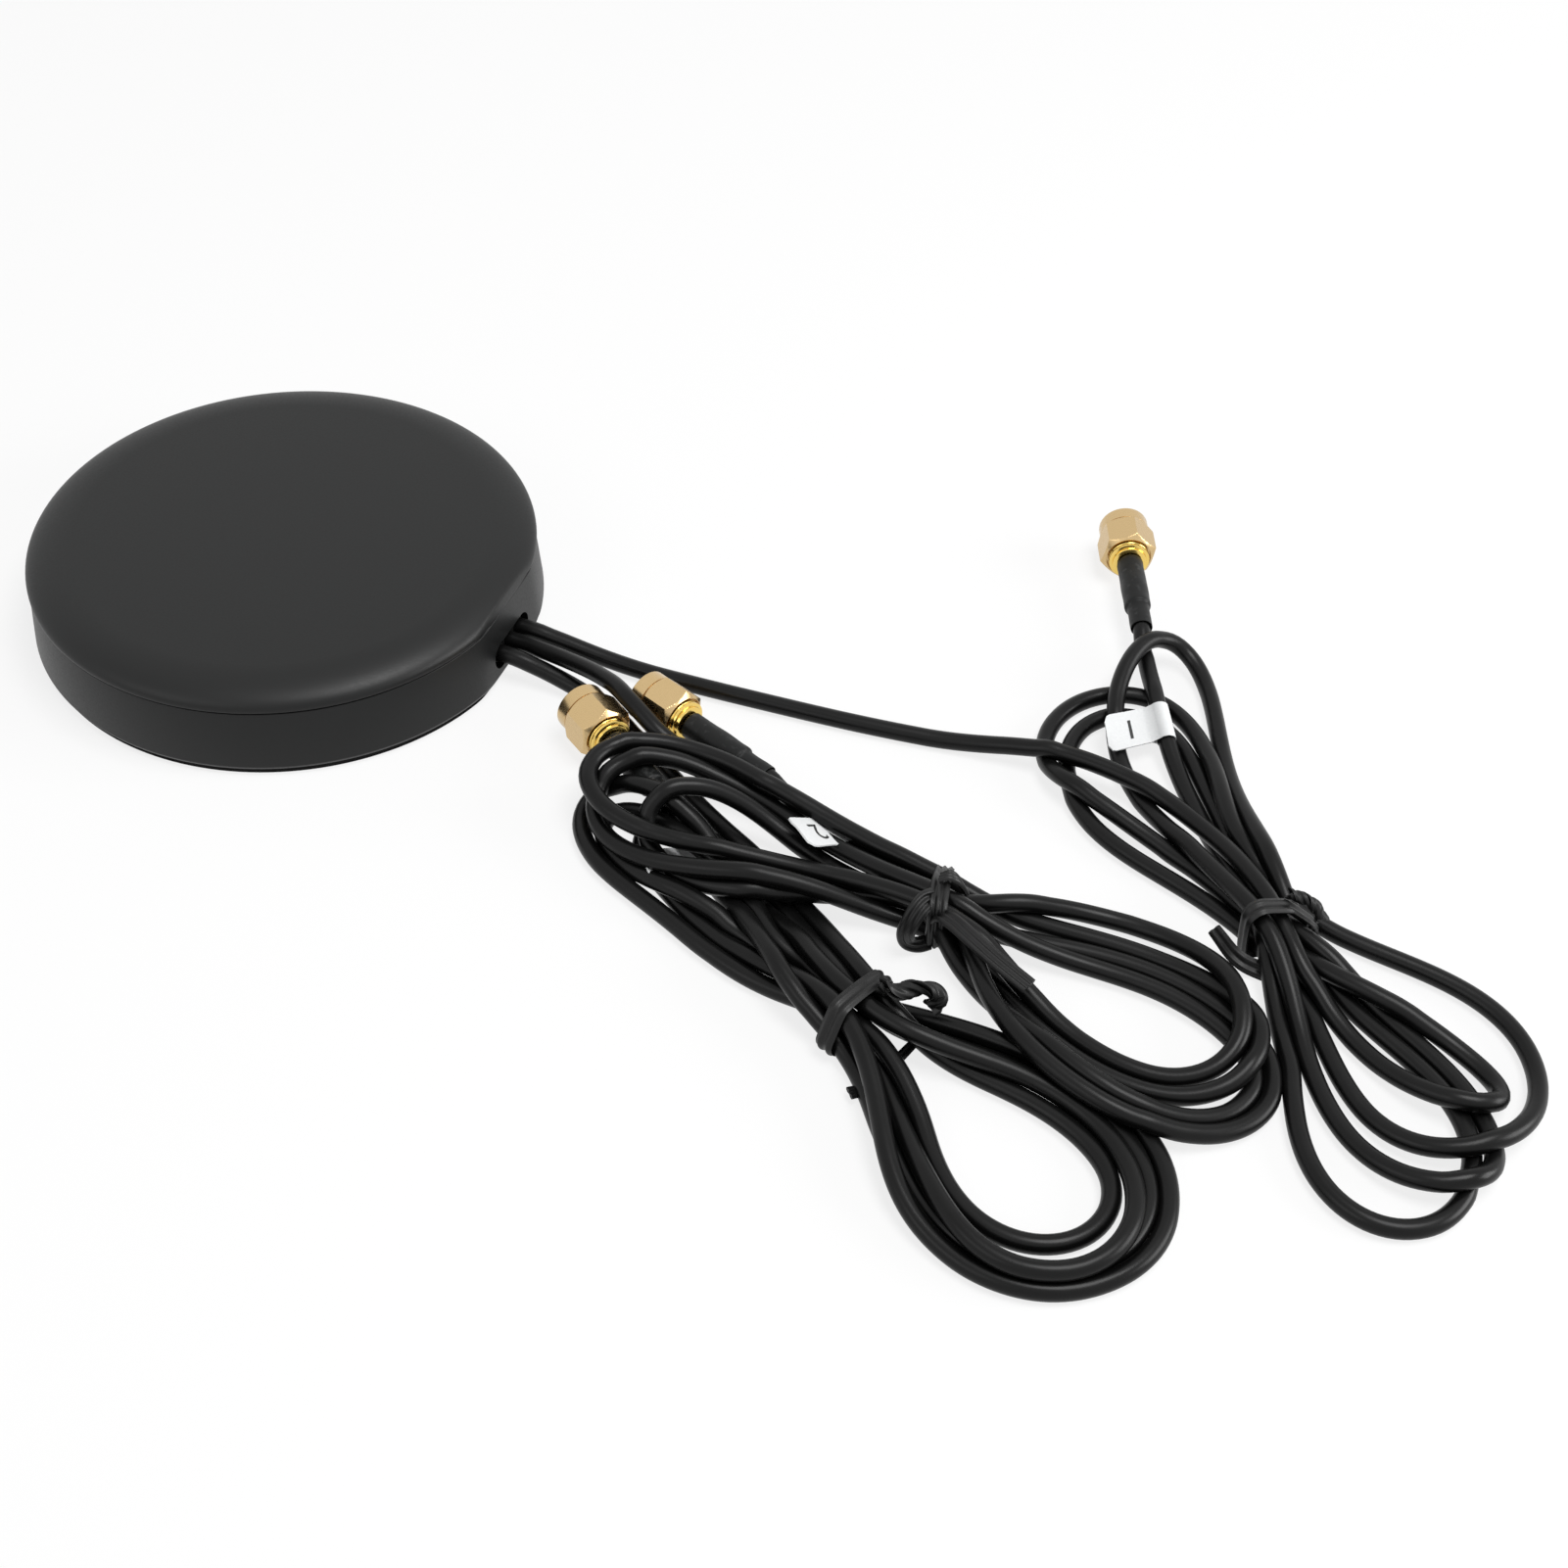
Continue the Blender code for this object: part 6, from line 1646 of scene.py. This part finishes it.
# The camera's place, the point that it looks at, and the heading that its level line is square to
CAMERA_PLACE = (0.16815, -0.24488, 0.24481)
CAMERA_TARGET = (0.0873, -0.0101, 0.0)
CAMERA_AZIMUTH = 109.0
WHITE = (1.0, 1.0, 1.0, 1.0)


def aimed(place, target):
    """Matrix of a lamp at a place that shines at a target."""
    way = Vector(target) - Vector(place)
    return Matrix.Translation(Vector(place)) @ way.to_track_quat("-Z", "Y").to_matrix().to_4x4()


def make_softbox(name, place, size, watts):
    """A white area lamp that faces the middle of the stage."""
    data = bpy.data.lights.new(name, "AREA")
    data.shape = "RECTANGLE"
    data.size, data.size_y = size
    data.energy = watts
    lamp = bpy.data.objects.new(name, data)
    lamp.matrix_world = aimed(place, STAGE_MIDDLE)
    bpy.context.scene.collection.objects.link(lamp)


def make_camera(looks):
    """The camera that the photograph was taken with, as far as it can be told."""
    data = bpy.data.cameras.new("camera")
    data.lens = looks.lens
    data.sensor_width = 36.0
    data.clip_start = 0.01
    camera = bpy.data.objects.new("camera", data)
    place = np.array(CAMERA_PLACE)
    forward = unit(np.array(CAMERA_TARGET) - place)
    azimuth = math.radians(CAMERA_AZIMUTH)
    level = np.array([math.sin(azimuth), -math.cos(azimuth), 0.0])
    above = np.cross(level, forward)
    right = math.cos(looks.roll) * level + math.sin(looks.roll) * above
    up = np.cross(right, forward)
    columns = (right, up, -forward, place)
    camera.matrix_world = Matrix([[c[k] for c in columns] for k in range(3)] + [(0, 0, 0, 1)])
    bpy.context.scene.collection.objects.link(camera)
    bpy.context.scene.camera = camera


def seen_rays(owner, share):
    """share for rays that end in the camera, a reflection or a clear piece, and 0 for others."""
    path = add(owner, "ShaderNodeLightPath").outputs
    seen = path["Is Camera Ray"]
    for other in ("Is Glossy Ray", "Is Transmission Ray"):
        links = {0: seen, 1: path[other]}
        seen = add(owner, MATH, {"operation": "MAXIMUM"}, links).outputs[0]
    return add(owner, MATH, TIMES, {0: seen, 1: share}).outputs[0]


def make_floor(looks):
    """White card: seen as partly plain white, while the rest keeps the object's shadow."""
    half = looks.floor_side / 2
    bm = bmesh.new()
    corners = [(-half, -half), (half, -half), (half, half), (-half, half)]
    bm.faces.new([bm.verts.new((x, y, 0.0)) for x, y in corners])
    material, shader = surface("matt_white_studio_card", "ffffff", 0.9)
    white = add(material, "ShaderNodeEmission", links={"Color": WHITE, "Strength": 1.0}).outputs
    share, card = seen_rays(material, looks.whiteness), shader.outputs["BSDF"]
    links = {0: share, 1: card, 2: white["Emission"]}
    both = add(material, "ShaderNodeMixShader", links=links).outputs["Shader"]
    output = material.node_tree.nodes["Material Output"]
    material.node_tree.links.new(both, output.inputs["Surface"])
    floor = finish_mesh(bm, "floor", material)
    floor.data.transform(Matrix.Translation((0.09, 0.0, -0.05 * MM)))


def make_world(looks):
    """Even light from all round, seen as plain white."""
    scene = bpy.context.scene
    scene.world = bpy.data.worlds.new("studio")
    scene.world.use_nodes = True
    background = scene.world.node_tree.nodes["Background"]
    background.inputs["Color"].default_value = WHITE
    links = {0: seen_rays(scene.world, 1.0 - looks.world), 1: looks.world}
    strength = add(scene.world, MATH, {"operation": "ADD"}, links).outputs[0]
    scene.world.node_tree.links.new(strength, background.inputs["Strength"])
    scene.view_settings.view_transform = "Standard"


# ---------------------------------------------------------------- operators


class PUCK_OT_puck(bpy.types.Operator):
    """Builds the cover, the lead seal and the foam pad"""

    bl_idname = "puck.make_puck"
    bl_label = "Puck"

    def execute(self, context):
        looks, leads = context.scene.puck_looks, context.scene.lead_looks
        make_cover(looks, moulded_abs())
        make_grommet(leads, moulded_rubber())
        make_pad(looks, foam_pad())
        return {"FINISHED"}


class PUCK_OT_inner_parts(bpy.types.Operator):
    """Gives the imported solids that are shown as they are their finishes"""

    bl_idname = "puck.finish_inner_parts"
    bl_label = "Inner parts"

    def execute(self, context):
        for node, finish in carried_over_finishes().items():
            mesh = frame["nodes"][node].data
            mesh.materials.clear()
            mesh.materials.append(finish)
        return {"FINISHED"}


class PUCK_OT_leads(bpy.types.Operator):
    """Lays the three leads in their hanks and builds them"""

    bl_idname = "puck.make_leads"
    bl_label = "Leads"

    def execute(self, context):
        looks = context.scene.lead_looks
        lines = lay_leads(looks.diameter, looks.step, looks.passes)
        jacket = extruded_pvc()
        for lead in LEADS:
            make_lead(lead, lines[lead], looks, jacket)
        return {"FINISHED"}


class PUCK_OT_plugs(bpy.types.Operator):
    """Builds the coupling nuts, the turned bodies and the sleeves of the three plugs"""

    bl_idname = "puck.make_plugs"
    bl_label = "Plugs"

    def execute(self, context):
        looks = context.scene.plug_looks
        sleeve = shrunk_tube()
        nut_gold = satin_gold("flash_gold_on_milled_brass", "cdb182", 0.22, 0.32)
        core_gold = satin_gold("bright_gold_on_turned_brass", "eccb72", 0.12, 0.20)
        core = {
            "plug_body": core_gold,
            "centre_pin": core_gold,
            "insulator": plain("turned_ptfe", "ecebe6", 0.42, IOR=1.38),
            "sealing_washer": plain("moulded_red_silicone", "8d2a1e", 0.5, IOR=1.43),
        }
        for lead in LEADS:
            PIECES[lead] += [make_nut(lead, looks, nut_gold), make_sleeve(lead, sleeve)]
            PIECES[lead] += make_core(lead, looks, core)
        return {"FINISHED"}


class PUCK_OT_ties(bpy.types.Operator):
    """Builds the ribbed ties round the hanks"""

    bl_idname = "puck.make_ties"
    bl_label = "Ties"

    def execute(self, context):
        looks, diameter = context.scene.tie_looks, context.scene.lead_looks.diameter
        vinyl = ribbed_tie()
        for lead in LEADS:
            PIECES[lead].append(make_tie(lead, looks, diameter, vinyl))
        return {"FINISHED"}


class PUCK_OT_flags(bpy.types.Operator):
    """Builds the paper flags on the leads with their plain numbers"""

    bl_idname = "puck.make_flags"
    bl_label = "Flags"

    def execute(self, context):
        looks, diameter = context.scene.flag_looks, context.scene.lead_looks.diameter
        paper, ink = label_stock(), plain("black_thermal_print", "1a1a1a", 0.55)
        for lead in LEADS:
            PIECES[lead] += make_flag(lead, looks, diameter, paper, ink)
        return {"FINISHED"}


class PUCK_OT_cords(bpy.types.Operator):
    """Returns at once without changing anything"""

    bl_idname = "puck.declare_cords"
    bl_label = "Cords"

    def execute(self, context):
        return {"FINISHED"}


class PUCK_OT_stage(bpy.types.Operator):
    """Builds the floor, the lamps, the surrounding light and the camera"""

    bl_idname = "puck.make_stage"
    bl_label = "Stage"

    def execute(self, context):
        looks = context.scene.stage_looks
        make_floor(looks)
        for name, (place, size, watts) in SOFTBOXES.items():
            make_softbox(name, place, size, watts)
        make_world(looks)
        make_camera(looks)
        return {"FINISHED"}


class PUCK_PT_panel(bpy.types.Panel):
    """Sidebar panel with the settings and the steps in order"""

    bl_idname = "PUCK_PT_panel"
    bl_label = "Puck antenna"
    bl_space_type = "VIEW_3D"
    bl_region_type = "UI"
    bl_category = "Puck antenna"

    def draw(self, context):
        for operator, groups in STEPS:
            box = self.layout.box()
            for group in groups:
                settings = getattr(context.scene, group)
                for key in settings.__annotations__:
                    box.prop(settings, key)
            box.operator(operator.bl_idname)


STEPS = [
    (PUCK_OT_puck, ("puck_looks",)),
    (PUCK_OT_inner_parts, ()),
    (PUCK_OT_leads, ("lead_looks",)),
    (PUCK_OT_plugs, ("plug_looks",)),
    (PUCK_OT_ties, ("tie_looks",)),
    (PUCK_OT_flags, ("flag_looks",)),
    (PUCK_OT_cords, ()),
    (PUCK_OT_stage, ("stage_looks",)),
]
GROUPS = {
    "puck_looks": PuckLooks,
    "lead_looks": LeadLooks,
    "plug_looks": PlugLooks,
    "tie_looks": TieLooks,
    "flag_looks": FlagLooks,
    "stage_looks": StageLooks,
}
CLASSES = list(GROUPS.values()) + [operator for operator, _ in STEPS] + [PUCK_PT_panel]


def register():
    for cls in CLASSES:
        bpy.utils.register_class(cls)
    for name, group in GROUPS.items():
        setattr(bpy.types.Scene, name, PointerProperty(type=group))


def unregister():
    for name in GROUPS:
        delattr(bpy.types.Scene, name)
    for cls in reversed(CLASSES):
        bpy.utils.unregister_class(cls)


def shown_box(objects):
    """Lowest and highest corner of the shown meshes and curves, as plain lists."""
    graph = bpy.context.evaluated_depsgraph_get()
    corners = []
    for obj in objects:
        mesh = obj.evaluated_get(graph).to_mesh()
        corners += [obj.matrix_world @ vert.co for vert in mesh.vertices]
        obj.evaluated_get(graph).to_mesh_clear()
    corners = np.array(corners)
    return [corners.min(0).tolist(), corners.max(0).tolist()]


def main():
    cad = shown_box(frame["nodes"].values())
    register()
    bpy.ops.puck.make_puck()
    bpy.ops.puck.finish_inner_parts()
    bpy.ops.puck.make_leads()
    bpy.ops.puck.make_plugs()
    bpy.ops.puck.make_ties()
    bpy.ops.puck.make_flags()
    bpy.ops.puck.declare_cords()
    bpy.ops.puck.make_stage()
    bpy.context.view_layer.update()
    objects = bpy.context.scene.objects
    pieces = [o for o in objects if o.type in ("MESH", "CURVE") and o.name != "floor"]
    shown_box(pieces)


if __name__ == "__main__":
    main()
